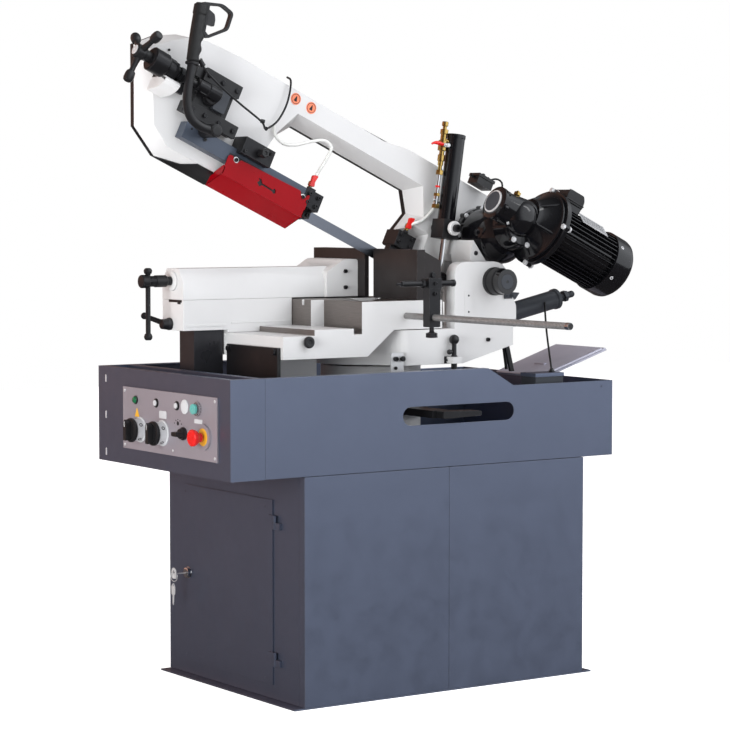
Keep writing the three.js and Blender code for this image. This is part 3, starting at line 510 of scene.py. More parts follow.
LAVENDER = paint("drip_plate_grey", (0.48, 0.475, 0.56), 0.4, metallic=0.3, mottle=0.03, peel=0.05)
YELLOW = moulded("yellow_plastic", (0.80, 0.42, 0.03), 0.35, grain=0.1)
ORANGE = moulded("orange_label", (0.88, 0.24, 0.12), 0.35, grain=0.05)
SHEATH = moulded("cable_sheath", (0.010, 0.010, 0.011), 0.5, grain=0.2, size=1500)
STEEL = machined("bare_steel", (0.46, 0.455, 0.45), 0.3)
BLADE_STEEL = machined("blade_steel", (0.20, 0.215, 0.25), 0.34, lines=(1, 1, 60))
ALLOY = paint("bright_alloy", (0.66, 0.66, 0.67), 0.3, metallic=0.35, mottle=0.08, peel=0.1)
CHROME = machined("hard_chrome", (0.86, 0.87, 0.88), 0.08, mottle=0.02)
ZINC = machined("zinc_plate", (0.62, 0.63, 0.64), 0.26, mottle=0.08)
BRASS = machined("brass", (0.62, 0.42, 0.13), 0.24, mottle=0.1)


def green_lens():
    n = Nodes("green_lens", 0.15, coat=0.5)
    n.colour(n.blend(n.spread(n.noise(200, 2), 0, 1), (0.01, 0.13, 0.05), (0.015, 0.19, 0.075)))
    n.set("Transmission Weight", 0.25)
    n.bump(n.noise(600, 1), 0.1, 0.0003)
    return n.material


def milky_hose():
    n = Nodes("milky_hose", 0.3, specular=0.5)
    n.colour(n.blend(n.spread(n.noise(45, 3), 0, 1), (0.74, 0.735, 0.70), (0.84, 0.835, 0.81)))
    n.set("Subsurface Weight", 0.3)
    n.set("Subsurface Radius", (0.004, 0.004, 0.004))
    n.bump(n.noise(160, 2), 0.1, 0.0005)
    return n.material


def ruler():
    """Bright steel ruled with a dark line every 5 mm along Y."""
    n = Nodes("ruled_steel", 0.34, metallic=0.35)
    split = n.add("ShaderNodeSeparateXYZ")
    n.link(n.place, split.inputs[0])
    ticks = n.add("ShaderNodeMath", operation="PINGPONG")
    ticks.inputs[1].default_value = 0.0025
    n.link(split.outputs["Y"], ticks.inputs[0])
    line = n.spread(ticks.outputs[0], 1, 0, 0.0004, 0.0007)
    base = n.blend(n.spread(n.noise(60, 4), 0, 1), (0.26, 0.255, 0.25), (0.34, 0.33, 0.325))
    n.colour(n.blend(line, base, (0.03, 0.03, 0.03)))
    n.bump(n.noise(400, 2), 0.1, 0.0003)
    return n.material


def half_faced(name, limit_x, limit_z):
    """White enamel, with bare faced iron on the sides that look to -X, low on the deck, and on the table's top."""
    n = Nodes(name, 0.36, specular=0.4)
    geometry = n.add("ShaderNodeNewGeometry")
    normal = n.add("ShaderNodeSeparateXYZ")
    n.link(geometry.outputs["True Normal"], normal.inputs[0])
    place = n.add("ShaderNodeSeparateXYZ")
    n.link(n.place, place.inputs[0])

    def less(value, limit):
        node = n.add("ShaderNodeMath", operation="LESS_THAN")
        n.link(value, node.inputs[0])
        node.inputs[1].default_value = limit
        return node.outputs[0]

    def both(a, b):
        node = n.add("ShaderNodeMath", operation="MULTIPLY", use_clamp=True)
        n.link(a, node.inputs[0])
        n.link(b, node.inputs[1])
        return node.outputs[0]

    def more(value, limit):
        node = n.add("ShaderNodeMath", operation="GREATER_THAN")
        n.link(value, node.inputs[0])
        node.inputs[1].default_value = limit
        return node.outputs[0]

    side = both(less(normal.outputs["X"], -0.9), both(more(place.outputs["X"], limit_x),
        more(place.outputs["Z"], limit_z)))
    top = more(place.outputs["Z"], 0.9394)
    either = n.add("ShaderNodeMath", operation="MAXIMUM")
    n.link(side, either.inputs[0])
    n.link(top, either.inputs[1])
    marks = n.noise(30, 6, stretch=(1, 1, 40), rough=0.7)
    iron = n.blend(n.spread(marks, 0, 1), shade(BARE, 0.85), shade(BARE, 1.15))
    white = n.blend(n.spread(n.noise(9, 4), 0, 1), shade(WHITE, 0.98), shade(WHITE, 1.02))
    n.colour(n.blend(either.outputs[0], white, iron))
    n.link(either.outputs[0], n.shader.inputs["Metallic"])
    below = n.bump(n.noise(38, 5), 0.025, 0.004)
    n.bump(n.noise(420, 2), 0.12, 0.0006, below)
    return n.material


LENS = green_lens()
HOSE = milky_hose()
RULED = ruler()
FACED = half_faced("enamel_and_faced_iron", -0.32, 0.8625)


# ---------- hoses and cables ----------
def free_cord(name, node, body, place, points, diameter, steps, finish, exit_at):
    path = through(points, steps)
    shape = Shape(place)
    shape.sweep(path, diameter / 2, 16)
    obj = piece(name, shape, body, finish, bevel=0)
    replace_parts(obj, node)
    real = [place @ p for p in path]
    tuple(real[exit_at])
    run_length(real)
    [tuple(p) for p in real]
    return path


def cords():
    near = -38
    front = [(-649, near, 116), (-636, near, 96), (-606, near, 88), (-577, near, 98), (-535, near, 128),
             (-500, near, 146), (-478, near, 140), (-476, near + 4, 112), (-482, near + 8, 72),
                 (-486, near + 14, 22)]
    # the lower end meets the tap on the sliding guide and the upper end meets the bow; the hose is baked where it
    # lies and attached to neither
    across = ("bow", "guide", BOW @ Vector((-640, near, 100)), BOW @ Vector((-500, near, 100)))
    free_cord("front_hose", "front_coolant_hose", across, BOW, front, 8, 80, HOSE, 0)
    rear = [(-132, near, 150), (-142, near, 118), (-158, near, 90), (-172, near, 78), (-181, near + 10, 64),
            (-182, near + 12, 50)]
    free_cord("rear_hose", "rear_coolant_hose", "bow", BOW, rear, 8, 50, HOSE, 0)
    trigger = [(-932, -112, 140), (-908, -112, 126), (-850, -110, 110), (-790, -100, 102), (-712, -92, 92),
               (-674, -54, 94), (-650, near - 9, 124), (-641, near - 7, 170), (-645, near - 3, 214),
               (-650, near + 3, 236), (-652, near + 20, 243)]
    free_cord("trigger_lead", "trigger_cable", "bow", BOW, trigger, 5, 110, SHEATH, 0)
    junction = [(437, -126, 922), (430, -137, 896), (412, -166, 850), (390, -205, 798), (377, -228, 770),
                (373, -236, 754)]
    free_cord("junction_lead", "junction_cable", "stand", STAND, junction, 5, 60, SHEATH, 0)


cords()


# ---------- cabinet, tray and operator's panel ----------
def cabinet():
    dress(COAT, 0.8, "cabinet_floor", "cabinet_front_left_panel", "cabinet_front_right_panel",
        "cabinet_rear_panel",
          "cabinet_door_frame", "cabinet_door", "coolant_tank", "chip_tray")
    dress(COAT, 0, "control_box")
    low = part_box("cabinet_door")[0]
    face = low.x / MM + 7
    fittings = Shape()
    for z in (93, 418):
        for dy in (-16, -7):
            fittings.flat_screw((-414.4, -194 + dy, z), (-1, 0, 0), 3)
    piece("hinge_screws", fittings, "stand", ZINC, bevel=0)

    lock = Shape()
    lock.turned((-424, 214, 258), (-1, 0, 0), [(0, 12.5), (1.2, 12.5), (2, 11), (2, 8), (3, 7.4), (3.4, 3)],
        28)
    lock.turned((-417.4, 214, 258), (-1, 0, 0), [(0, 15), (1.6, 14.4), (2, 12)], 28)
    piece("lock_barrel", lock, "cabinet_door", CHROME, bevel=0)
    for_frame = Shape()
    for y, z in ((DOOR_EDGE[0] + 18, 462), (DOOR_EDGE[1] - 18, 462), (DOOR_EDGE[0] + 18, 54),
        (DOOR_EDGE[1] - 18, 54)):
        for_frame.flat_screw((face - 7, y, z), (-1, 0, 0), 2.4)
    piece("door_rivets", for_frame, "cabinet_door", COAT, bevel=0)

    key = Shape()
    bow = rounded([(203, 246, 5), (225, 246, 5), (225, 270, 8), (214, 274, 3), (203, 270, 8)])
    hole = ring(214, 262, 4.5, 16)
    key.slab("yz", bow, -460, -458, holes=[hole])
    key.box((-459.6, -424.8), (211.4, 216.6), (256.8, 259.2))
    ring_path = [Vector((-459 - 3 * math.sin(a), 214 + 11 * math.sin(a), 251 + 12 * math.cos(a)))
                 for a in (2 * math.pi * k / 28 for k in range(28))]
    key.sweep(ring_path + [ring_path[0]], 0.9, 8)
    spare = rounded([(206, 205, 6), (222, 205, 6), (223, 228, 7), (214, 236, 4), (205, 228, 7)])
    key.slab("yz", spare, -462, -460, holes=[ring(214, 230, 3, 14)])
    key.slab("yz", rounded([(211, 206), (217, 206), (217, 182, 2), (212, 180, 2), (213, 186), (211, 189)]),
        -462, -460)
    obj = piece("key_ring", key, "door_key", ALLOY, bevel=0.25)
    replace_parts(obj, "door_key")


DOOR_EDGE = (-178, 230)


def tray_details():
    # painted light: three bright alloy plates stand for the vent slots in the control box's end, where the slots
    # show bright
    slots = Shape()
    for z in (747, 658, 567):
        slots.slab("yz", rounded([(272, z - 9, 2), (277, z - 9, 2), (277, z + 9, 2), (272, z + 9, 2)]),
            -613.9, -612.9)
    piece("painted_vent_light", slots, "stand", ALLOY, bevel=0)
    rim = Shape()
    rim.turned((472, -313.2, 718), (0, -1, 0), [(0, 3), (0.8, 2.8), (0.8, 1.6), (0.2, 1.4)], 16)
    piece("tray_screws", rim, "stand", COAT, bevel=0)


PANEL_FACE = -617.35


def boss(shape, y, z, profile, sides=36):
    return shape.turned((PANEL_FACE, y, z), (-1, 0, 0), profile, sides)


def operator_panel():
    dress(PLATE, 0.4, "control_panel")
    screws = Shape()
    for y in (-261 + 9, 181 - 9):
        for z in (584 + 9, 733 - 9):
            screws.flat_screw((PANEL_FACE, y, z), (-1, 0, 0), 4)
    screws.flat_screw((PANEL_FACE, -60, 596), (-1, 0, 0), 3)
    piece("panel_screws", screws, "stand", ALLOY, bevel=0)

    sleeves = Shape()
    for y in (95, -12):
        boss(sleeves, y, 634, [(0, 31), (2.5, 31), (3.2, 27.5), (21, 27), (22, 26.2)])
    piece("switch_sleeves", sleeves, "stand", PALE, bevel=0.3)
    marks = Shape()
    for y in (95, -12):
        for turn in (-50, 30, 100):
            a = math.radians(turn)
            centre = (PANEL_FACE - 12, y - 27 * math.cos(a), 634 + 27 * math.sin(a))
            marks.turned(centre, (0, -math.cos(a), math.sin(a)),
                [(0, 4.4), (0.5, 4.4), (0.5, 2.6), (-1, 2.4)], 16)
    piece("sleeve_screws", marks, "stand", BLACK, bevel=0)

    for name, node, body, y in (("main_knob", "main_switch_knob", "main_switch", 95),
                                ("speed_knob", "speed_switch_knob", "speed_switch", -12)):
        knob = Shape()
        base = PANEL_FACE - 22.35
        knob.turned((base, y, 634), (-1, 0, 0), [(0, 28), (1, 29), (6.5, 29), (9, 26.5), (9, 24), (7, 22),
            (7, 0)], 40)
        grip = rounded([(-24, -6.5, 3), (20, -6.5, 3), (26, 0, 1), (20, 6.5, 3), (-24, 6.5, 3)])
        knob.slab("yz", [(y + p.y, 634 + p.x) for p in grip], base - 22, base - 6)
        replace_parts(piece(name, knob, body, BLACK, bevel=1.2, segments=3), node)
        tip = Shape()
        tip.box((base - 22.3, base - 21.8), (y - 1.2, y + 1.2), (634 + 9, 634 + 22))
        piece(name + "_pointer", tip, body, PALE, bevel=0)

    collar = Shape()
    boss(collar, -112, 640, [(0, 15.2), (5.2, 15.2), (6.2, 14)])
    piece("selector_bezel", collar, "stand", BLACK, bevel=0.2)
    selector = Shape()
    base = PANEL_FACE - 5.35
    selector.turned((base, -112, 640), (-1, 0, 0), [(0, 12), (7, 12), (8.5, 10.5)], 28)
    handle = rounded([(-17, -5.4, 3), (11, -5.4, 3), (14, 0, 1), (11, 5.4, 3), (-17, 5.4, 3)])
    selector.slab("yz", [(-112 + p.x * 0.8, 640 + p.y) for p in handle], base - 24, base - 7)
    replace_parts(piece("selector", selector, "selector", BLACK, bevel=0.8, segments=3),
        "selector_knob")

    ring_label = Shape()
    boss(ring_label, -207, 639, [(0, 22.4), (1.6, 22.4), (6.2, 20.5), (6.2, 14)])
    piece("stop_ring", ring_label, "stand", YELLOW, bevel=0.4)
    stop = Shape()
    base = PANEL_FACE - 12
    stop.turned((base, -207, 639), (-1, 0, 0), [(0, 11), (10, 11), (11, 16), (13, 17.6), (19, 20),
        (23.5, 19.4), (25.6, 17),
                                               (26, 13), (25.4, 8)], 40)
    for k in range(3):
        a = 2 * math.pi * k / 3
        path = [(base - 25.9, -207 + 11.5 * math.cos(a + t), 639 + 11.5 * math.sin(a + t)) for t in
                (0.1 * j for j in range(13))]
        stop.sweep(path, 0.9, 8)
    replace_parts(piece("stop_mushroom", stop, "emergency_stop", RED_PLASTIC, bevel=0.4),
        "emergency_stop")

    bezel = Shape()
    boss(bezel, -175, 702, [(0, 17.2), (3, 17.2), (5.2, 15.2), (5.2, 13.2), (3, 13)])
    piece("start_bezel", bezel, "stand", ZINC, bevel=0.2)
    start = Shape()
    start.turned((PANEL_FACE - 8, -175, 702), (-1, 0, 0),
        [(0, 12.2), (5.5, 12.2), (7, 11), (7, 8), (6.4, 2)], 32)
    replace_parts(piece("start_cap", start, "start_button", TEAL, bevel=0.3), "start_button")
    small = Shape()
    boss(small, -118, 703, [(0, 17), (2.5, 17), (4, 14.5), (4.4, 9)])
    piece("pale_push_cap", small, "stand", PALE, bevel=0.3)

    lamp = Shape()
    boss(lamp, 117, 704, [(0, 10.5), (2, 10.5), (3, 9)])
    piece("lamp_bezel", lamp, "stand", BLACK, bevel=0.2)
    glass = Shape()
    boss(glass, 117, 704, [(2, 8.6), (5, 8), (7.4, 6), (8.4, 3)])
    piece("pilot_lamp", glass, "stand", LENS, bevel=0)
    for k, y in enumerate((18, -80)):
        dot = Shape()
        boss(dot, y, 703, [(0, 11), (1.4, 11), (2, 9.6), (3.6, 9), (3.6, 7.4)])
        piece(f"indicator_{k + 1}", dot, "stand", BLACK, bevel=0.2)
        face = Shape()
        face.turned((PANEL_FACE - 3.7, y, 703), (-1, 0, 0), [(0, 7.2), (1.6, 6.6), (2.2, 4)], 24)
        piece(f"indicator_face_{k + 1}", face, "stand", PALE, bevel=0)
    tag = Shape()
    tag.slab("yz", rounded([(100, 664, 2), (122, 664, 2), (111, 686, 2)]), PANEL_FACE - 0.5, PANEL_FACE + 0.1)
    piece("warning_tag", tag, "stand", YELLOW, bevel=0)
    labels = Shape()
    labels.slab("yz", rect(-30, 4, 668, 686, 3), PANEL_FACE - 0.4, PANEL_FACE + 0.1)
    labels.slab("yz", rect(-196, -160, 668, 678, 2), PANEL_FACE - 0.4, PANEL_FACE + 0.1)
    piece("plain_labels", labels, "stand", PALE, bevel=0)
    ticks = Shape()
    for k in range(5):
        a = math.radians(30 + 30 * k)
        at = (-84 + 19 * math.cos(a), 652 + 19 * math.sin(a))
        ticks.slab("yz", ring(*at, 1.6, 8), PANEL_FACE - 0.4, PANEL_FACE + 0.1)
    ticks.slab("yz", ring(-84, 662, 5, 16), PANEL_FACE - 0.5, PANEL_FACE + 0.1)
    piece("dial_marks", ticks, "stand", BLACK, bevel=0)


# ---------- base casting, vise and jaws ----------
def base_and_vise():
    dress(FACED, 1.2, "base_casting")
    dress(ENAMEL, 1.6, "vise_guide", "vise_slide")
    dress(SATIN, 1.2, "deck_end_plate")
    dress(JAW, 1.0, "moving_jaw_plate", "outfeed_fixed_jaw", "infeed_fixed_jaw")
    dress(OXIDE, 0.8, "vise_screw", "mitre_lock_lever")
    dress(SATIN, 0.8, "vise_tommy_bar", "vise_lock_lever")
    dress(RULED, 0.6, "length_stop_rod")
    dress(IRON, 0.8, "junction_box", "counter_spring")
    dress(LAVENDER, 0.5, "drip_plate")

    bolts = Shape()
    for y in (-178, 28):
        bolts.hex_bolt((-410, y, 826), (-1, 0, 0), 13)
    piece("end_plate_bolts", bolts, "stand", OXIDE, bevel=0.4)
    knob = Shape()
    knob.turned((-334, -200, 848), (0, -1, 0), [(0, 9), (4, 9), (5, 13), (7, 14), (13, 14), (15, 12),
        (15, 7), (13, 5)], 28)
    piece("deck_knob", knob, "stand", BLACK, bevel=0.4)

    head = Shape()
    for z in (966, 1006):
        head.cap_screw((-66, 38, z), (0, -1, 0), 5)
    piece("jaw_screws", head, "vise", OXIDE, bevel=0)
    sleeve = Shape()
    sleeve.turned((-524.2, 100, 988), (-1, 0, 0), [(0, 24), (4, 24), (6, 20), (6, 15)], 36)
    piece("screw_gland", sleeve, "vise", ENAMEL, bevel=0.6)
    cap = Shape()
    cap.turned((-612, 100, 988), (-1, 0, 0), [(-20, 14.5), (-18, 16), (-2, 16), (0, 14.5), (0.6, 6),
        (0.6, 2)], 32)
    cap.turned((-573, 100, 988), (1, 0, 0), [(0, 14.4), (28, 14.4), (30, 13)], 32)
    piece("screw_head", cap, "vise_screw", SATIN, bevel=0.3)
    ends = Shape()
    ends.turned((-592, 100, 847), (0, 0, 1), [(0, 6), (3, 9), (8, 10.4), (13.5, 8.8), (16, 6.6)], 24)
    ends.turned((-592, 100, 1005), (0, 0, 1), [(0, 6.6), (2.5, 9), (8, 10.4), (13, 8.6), (15, 5)], 24)
    piece("tommy_bar_ends", ends, "tommy_bar", SATIN, bevel=0)
    lever = Shape()
    lever.turned((-524.6, 112, 884), (-1, 0, 0), [(0, 15), (6, 15), (9, 13), (24, 12), (25, 8), (25, 4)], 28)
    lever.rod((-536, 112, 884), (-569, 151, 901.5), 7, 18, end=5.6)
    lever.ball((-572, 154, 903), 8.5)
    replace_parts(piece("vise_lock", lever, "vise_lock", SATIN, bevel=0.3), "vise_lock_lever")
    wedge = Shape()
    wedge.box((-524.9, -524.2), (56, 118), (937, 942.8))
    wedge.box((-526.5, -524.2), (62, 74), (933, 938.5))
    piece("vise_way_cover", wedge, "stand", SATIN, bevel=0.2)
    panel = Shape()
    panel.slab("xz", rect(-515, -405, 878, 884, 2), 48.8, 50.2)
    panel.slab("xz", rect(-390, -222, 884, 888, 1), 48.8, 50.2)
    piece("vise_guide_rib", panel, "stand", ENAMEL, bevel=0.6)
    post = Shape()
    post.box((-485.7, -404.4), (65.4, 134.6), (548.2, 868.6))
    piece("vise_post_skin", post, "stand", SMOKE, bevel=1)

    jaw_tap = Shape()
    jaw_tap.hex_bolt((33, -197, 1000), (0, -1, 0), 12)
    piece("jaw_rib_bolt", jaw_tap, "stand", OXIDE, bevel=0.3)

    bracket = Shape()
    bracket.slab("xz", rounded([(-95, 768, 2), (-59, 768, 2), (-59, 815, 4), (-95, 815, 4)]), -206, -200.2)
    piece("index_bracket", bracket, "stand", ALLOY, bevel=0.6)
    bits = Shape()
    bits.cap_screw((-84, -206, 800), (0, -1, 0), 6)
    bits.cap_screw((-84, -206, 778), (0, -1, 0), 4)
    bits.turned((-66, -206, 800), (0, -1, 0), [(0, 4), (4, 4), (5, 6.5), (9, 6.5), (10, 5)], 20)
    piece("index_bracket_screws", bits, "stand", OXIDE, bevel=0)

    stopper = Shape()
    half = 16
    x, y = -48, -306
    front = rounded([(x - half, 880, 3), (x + half, 880, 3), (x + half, 990, 3), (x - half, 990, 3)])
    stopper.slab("xz", front, y - 13, y + 13, holes=[ring(x, 903, 8.6, 24)])
    stopper.box((x - 19, x + 19), (y - 15, y + 15), (972, 997))
    stopper.turned((x, y, 880), (0, 0, -1), [(0, 6), (10, 6), (13, 9), (14, 15), (24, 15), (25.5, 12)], 6)
    stopper.turned((x, y, 880), (0, 0, -1), [(13, 11), (24.6, 14.8)], 24)
    stopper.rod((x - 88, y, 984), (x + 66, y, 984), 7, 24)
    stopper.turned((x - 88, y, 984), (-1, 0, 0), [(0, 7), (4, 3.4), (14, 3), (16, 1.5)], 18)
    stopper.turned((x + 66, y, 984), (-1, 0, 0), [(-1, 6), (0, 8.4), (7, 8.4), (8, 7)], 24)
    stopper.hexagon((x - 23, y, 984), (-1, 0, 0), 18, 8)
    obj = piece("stop_block", stopper, "length_stop", OXIDE, bevel=0.7)
    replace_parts(obj, "length_stop_block")
    screws = Shape()
    screws.cap_screw((x, y - 13, 960), (0, -1, 0), 5)
    screws.cap_screw((x, y - 15, 984), (0, -1, 0), 4.4)
    piece("stop_screws", screws, "length_stop", OXIDE, bevel=0)
    end = Shape()
    end.turned((-48, -830, 903), (0, 1, 0), [(0.05, 8.05), (0.6, 8.3), (12, 8.3), (12.4, 8)], 24)
    piece("stop_rod_end", end, "stand", ZINC, bevel=0)

    box = Shape()
    box.box((298.6, 389.4), (-265.4, -204.6), (744, 753.2))
    for px in (306, 382):
        box.flat_screw((px, -214, 753.2), (0, 0, 1), 3)
        box.flat_screw((px, -256, 753.2), (0, 0, 1), 3)
    piece("junction_lid", box, "stand", COAT, bevel=0.8)
    gland = Shape()
    gland.hexagon((373, -236, 753.2), (0, 0, 1), 14, 4)
    gland.turned((373, -236, 757), (0, 0, 1), [(0, 5.5), (3, 5), (6, 3)], 20)
    piece("junction_gland", gland, "stand", BLACK, bevel=0.3)

    plate = Shape()
    lip = [Vector((384 + 2 * k, -198, 744 + 0.64 * k)) for k in range(0, 95, 6)]
    plate.sweep(lip, 4.2, 12)
    piece("drip_plate_roll", plate, "stand", LAVENDER, bevel=0)


# ---------- swivel arm, pivot and counter spring ----------
def swivel():
    dress(ENAMEL, 1.6, "swivel_arm")
    dress(GLOSS, 0.8, "pivot_pin")
    px, pz = 217, 982
    collar = Shape()
    collar.turned((px, -200.2, pz), (0, -1, 0), [(0, 35), (10, 35), (12, 33), (34, 33), (36, 31), (36, 20)],
        48)
    piece("pivot_collar", collar, "swivel", SATIN, bevel=0.6)
    cap = Shape()
    cap.turned((px, -236, pz), (0, -1, 0), [(0, 20), (18, 20), (21, 18.4), (21, 4), (19, 3.4)], 40)
    piece("pivot_cap", cap, "swivel", IRON, bevel=0.6)
    label = Shape()
    label.slab("xz", rect(128, 153, 893, 962, 1.5), -201, -199.9)
    piece("scale_plate", label, "swivel", ENAMEL, bevel=0.5)
    rivets = Shape()
    for z in (908, 948):
        rivets.turned((140, -201, z), (0, -1, 0), [(0, 2.6), (0.7, 2.2), (1, 1)], 14)
    rivets.cap_screw((199, -200, 838), (0, -1, 0), 5)
    piece("bracket_screws", rivets, "swivel", OXIDE, bevel=0)
    pin = Shape()
    pin.turned((86, -214, 769), (0, 0, 1), [(0, 6.6), (2, 7.4), (34, 7.4), (36, 6), (62, 6), (66, 5.4)], 24)
    pin.ball((86, -214, 842), 12.5)
    pin.turned((86, -214, 812), (-1, 0, 0), [(0, 3), (7, 3), (8, 5.5), (14, 6.6), (18, 5.5), (19.5, 3)], 20)
    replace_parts(piece("index_plunger", pin, "index_pin", BLACK, bevel=0.4), "index_pin")
    foot = Shape()
    foot.slab("xz", rounded([(66, 784, 2), (106, 784, 2), (106, 801, 2), (66, 801, 2)]), -203, -199.8)
    for x in (71, 101):
        foot.cap_screw((x, -203, 792), (0, -1, 0), 3.4)
    piece("index_foot", foot, "swivel", OXIDE, bevel=0.5)

    slope = math.radians(12.2)
    along = lambda d: (292 + d * math.cos(slope), -100, 886 + d * math.sin(slope))
    spring = Shape()
    way = (math.cos(slope), 0, math.sin(slope))
    spring.turned(along(0), way, [(0, 23.2), (3, 24), (196, 24), (199, 26.5), (208, 26.5), (210, 22),
        (210, 9)], 40)
    spring.turned(along(212), way, [(0, 8), (50, 8), (53, 6)], 24)
    spring.box((271.5, 302), (-122, -78), (868.5, 912))
    for k in range(12):
        spring.turned(along(214 + k * 4), way, [(0, 7.6), (1, 8.8), (2, 8.8), (3, 7.6)], 20)
    spring.hexagon(along(230), way, 26, 12)
    obj = piece("spring_unit", spring, "swivel", IRON, bevel=0.8)
    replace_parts(obj, "counter_spring")
    clips = Shape()
    clips.slab("xz", rounded([(236, 935, 3), (286, 935, 3), (300, 952, 3), (240, 957, 3)]), -199, -140)
    clips.box((249, 273), (-204, -196), (938, 953))
    for x in (252, 270):
        clips.cap_screw((x, -204, 945), (0, -1, 0), 4)
    piece("spring_bracket", clips, "swivel", IRON, bevel=0.8)
    strut = Shape()
    strut.slab("xz", [(282, 862), (294, 862), (322, 752), (310, 752)], -150, -142)
    strut.rod((300, -122, 868), (318, -122, 756), 4, 14)
    piece("tray_strut", strut, "stand", SATIN, bevel=0.4)


cabinet()
tray_details()
operator_panel()
base_and_vise()
swivel()


# ---------- bow ----------
def drum(shape, at, axis, r, half, lobes):
    """A bolted flange with lobes for its bolts."""
    axis = Vector(axis).normalized()
    side = axis.orthogonal().normalized()
    up = axis.cross(side)
    shape.turned(Vector(at) - axis * half, axis, [(0, r - 1), (1, r), (2 * half - 1, r), (2 * half, r - 1)],
        48)
    for k in range(lobes):
        a = 2 * math.pi * (k + 0.5) / lobes
        spot = Vector(at) + (side * math.cos(a) + up * math.sin(a)) * (r - 1)
        shape.turned(spot - axis * half, axis, [(0, 6.5), (2 * half, 6.5)], 16)
    return [Vector(at) + (side * math.cos(a) + up * math.sin(a)) * (r - 1)
            for a in (2 * math.pi * (k + 0.5) / lobes for k in range(lobes))]


def bow_body():
    dress(ENAMEL, 2.2, "bow_casting")
    dress(SATIN, 1.0, "rear_cover")
    dress(BLADE_STEEL, 0, "saw_blade")
    dress(IRON, 0.8, "drive_wheel", "front_wheel")
    dress(STEEL_BLUE, 1.0, "guide_arm")
    dress(OXIDE, 1.0, "arm_clamp", "rear_guide_head")
    dress(BLACK, 0.8, "limit_switch")
    discs = Shape(BOW)
    for x in (-615, -566):
        discs.turned((x, -30, 203), (0, -1, 0), [(0, 14.5), (0.7, 14.2), (0.8, 13)], 40)
    piece("round_labels", discs, "bow", ORANGE, bevel=0)
    rims = Shape(BOW)
    for x in (-615, -566):
        rims.washer((x, -30.75, 203), (0, -1, 0), 11, 12.2, 0.25, 40)
        rims.slab("xz", rounded([(x - 5, 197, 2), (x + 5, 197, 2), (x + 1, 210, 1), (x - 1, 210, 1)]),
            -31.1, -30.7)
    piece("label_marks", rims, "bow", SATIN, bevel=0)

    lip = Shape(BOW)
    slope = lambda x, t: Vector((x, -31 + 50 * t, -57 - 22 * t))
    skin = [slope(-888, 1), slope(-825, 0.6), slope(-797, 0), slope(-727, 0), slope(-727, 1)]
    down = Vector((0, 0, -2.0))
    lip._skin([skin, [p + down for p in skin]])
    end = [slope(-727, 0), slope(-727, 1), Vector((-640, 19, -54)), Vector((-662, -31, -54))]
    lip._skin([end, [p + down for p in end]])
    piece("blade_exit_cover", lip, "bow", SATIN, bevel=0)

    screws = Shape(BOW)
    for x, z in ((-778, 43), (-764, 43)):
        screws.flat_screw((x, -30, z), (0, -1, 0), 3)
    screws.cap_screw((-985, -30, 128), (0, -1, 0), 4)
    screws.cap_screw((-978, -30, 150), (0, -1, 0), 3)
    for x, z in ((-33, 20), (-52, 52)):
        screws.flat_screw((x, -160, z), (0, -1, 0), 6)
    piece("casting_screws", screws, "bow", OXIDE, bevel=0)

    trunnion = Shape(BOW)
    trunnion.turned((-107, -108, 94), (0, -1, 0), [(0, 17), (2, 18), (9, 18), (11, 16)], 36)
    piece("damper_boss", trunnion, "damper_tube", ENAMEL, bevel=0.5)
    bolt = Shape(BOW)
    bolt.cap_screw((-107, -119, 94), (0, -1, 0), 10)
    piece("damper_bolt", bolt, "damper_tube", OXIDE, bevel=0.2)

    guide = Shape(BOW)
    guide.rod((-681, -86, 25), (-681, -92, 25), 9, 24)
    guide.turned((-681, -92, 25), (0, -1, 0), [(0, 11), (3, 12), (16, 12), (18, 10), (18, 5), (15, 4.6)], 6)
    piece("clamp_knob", guide, "bow", BLACK, bevel=0.7)
    clamp = Shape(BOW)
    clamp.cap_screw((-655, -86, 36), (0, -1, 0), 4)
    clamp.cap_screw((-722, -86, 12), (0, -1, 0), 4)
    piece("arm_clamp_screws", clamp, "bow", OXIDE, bevel=0)
    bits = Shape(BOW)
    bits.cap_screw((-820, -62, -6), (0, -1, 0), 4)
    bits.flat_screw((-862, -62, 2), (0, -1, 0), 3)
    piece("guide_bar_screws", bits, "guide", OXIDE, bevel=0)

    head = Shape(BOW)
    head.box((-513, -459), (-31.5, 31.5), (-11, 19))
    head.box((-514, -462), (-63.5, -28.5), (-28.5, 14.5))
    head.box((-511, -461), (-33, -14), (-45, -12))
    head.box((-497, -475), (-40, -30), (-30, 26))
    head.turned((-486, -24, 18), (0, 0, 1), [(0, 7), (3, 7), (4, 4.5), (10, 4.5)], 18)
    for x, z in ((-502, 4), (-475, 4), (-502, -18), (-475, -18)):
        head.cap_screw((x, -63.5, z), (0, -1, 0), 5.4)
    for x in (-502, -470):
        head.cap_screw((x, -33, -38), (0, -1, 0), 4.6)
    piece("front_guide_block", head, "guide", OXIDE, bevel=0.7)
    rear = Shape(BOW)
    rear.box((-201.5, -145.5), (-27.5, 27.5), (8, 47))
    for x, z in ((-192, 38), (-156, 38), (-192, 18), (-156, 18)):
        rear.cap_screw((x, -27.5, z), (0, -1, 0), 4.6)
    rear.turned((-182, -26, 47), (0, 0, 1), [(0, 7), (3, 7), (4, 4.5), (8, 4.5)], 18)
    piece("rear_guide_block", rear, "bow", OXIDE, bevel=0.7)
    for name, body, x0, x1 in (("front", "guide", -511, -461), ("rear", "bow", -199, -148)):
        pads = Shape(BOW)
        for side in (-1, 1):
            pads.box((x0, x1), sorted((side * 2.1, side * 6)), (-45.5, -20))
        piece(name + "_carbide_pads", pads, body, STEEL, bevel=0.3)

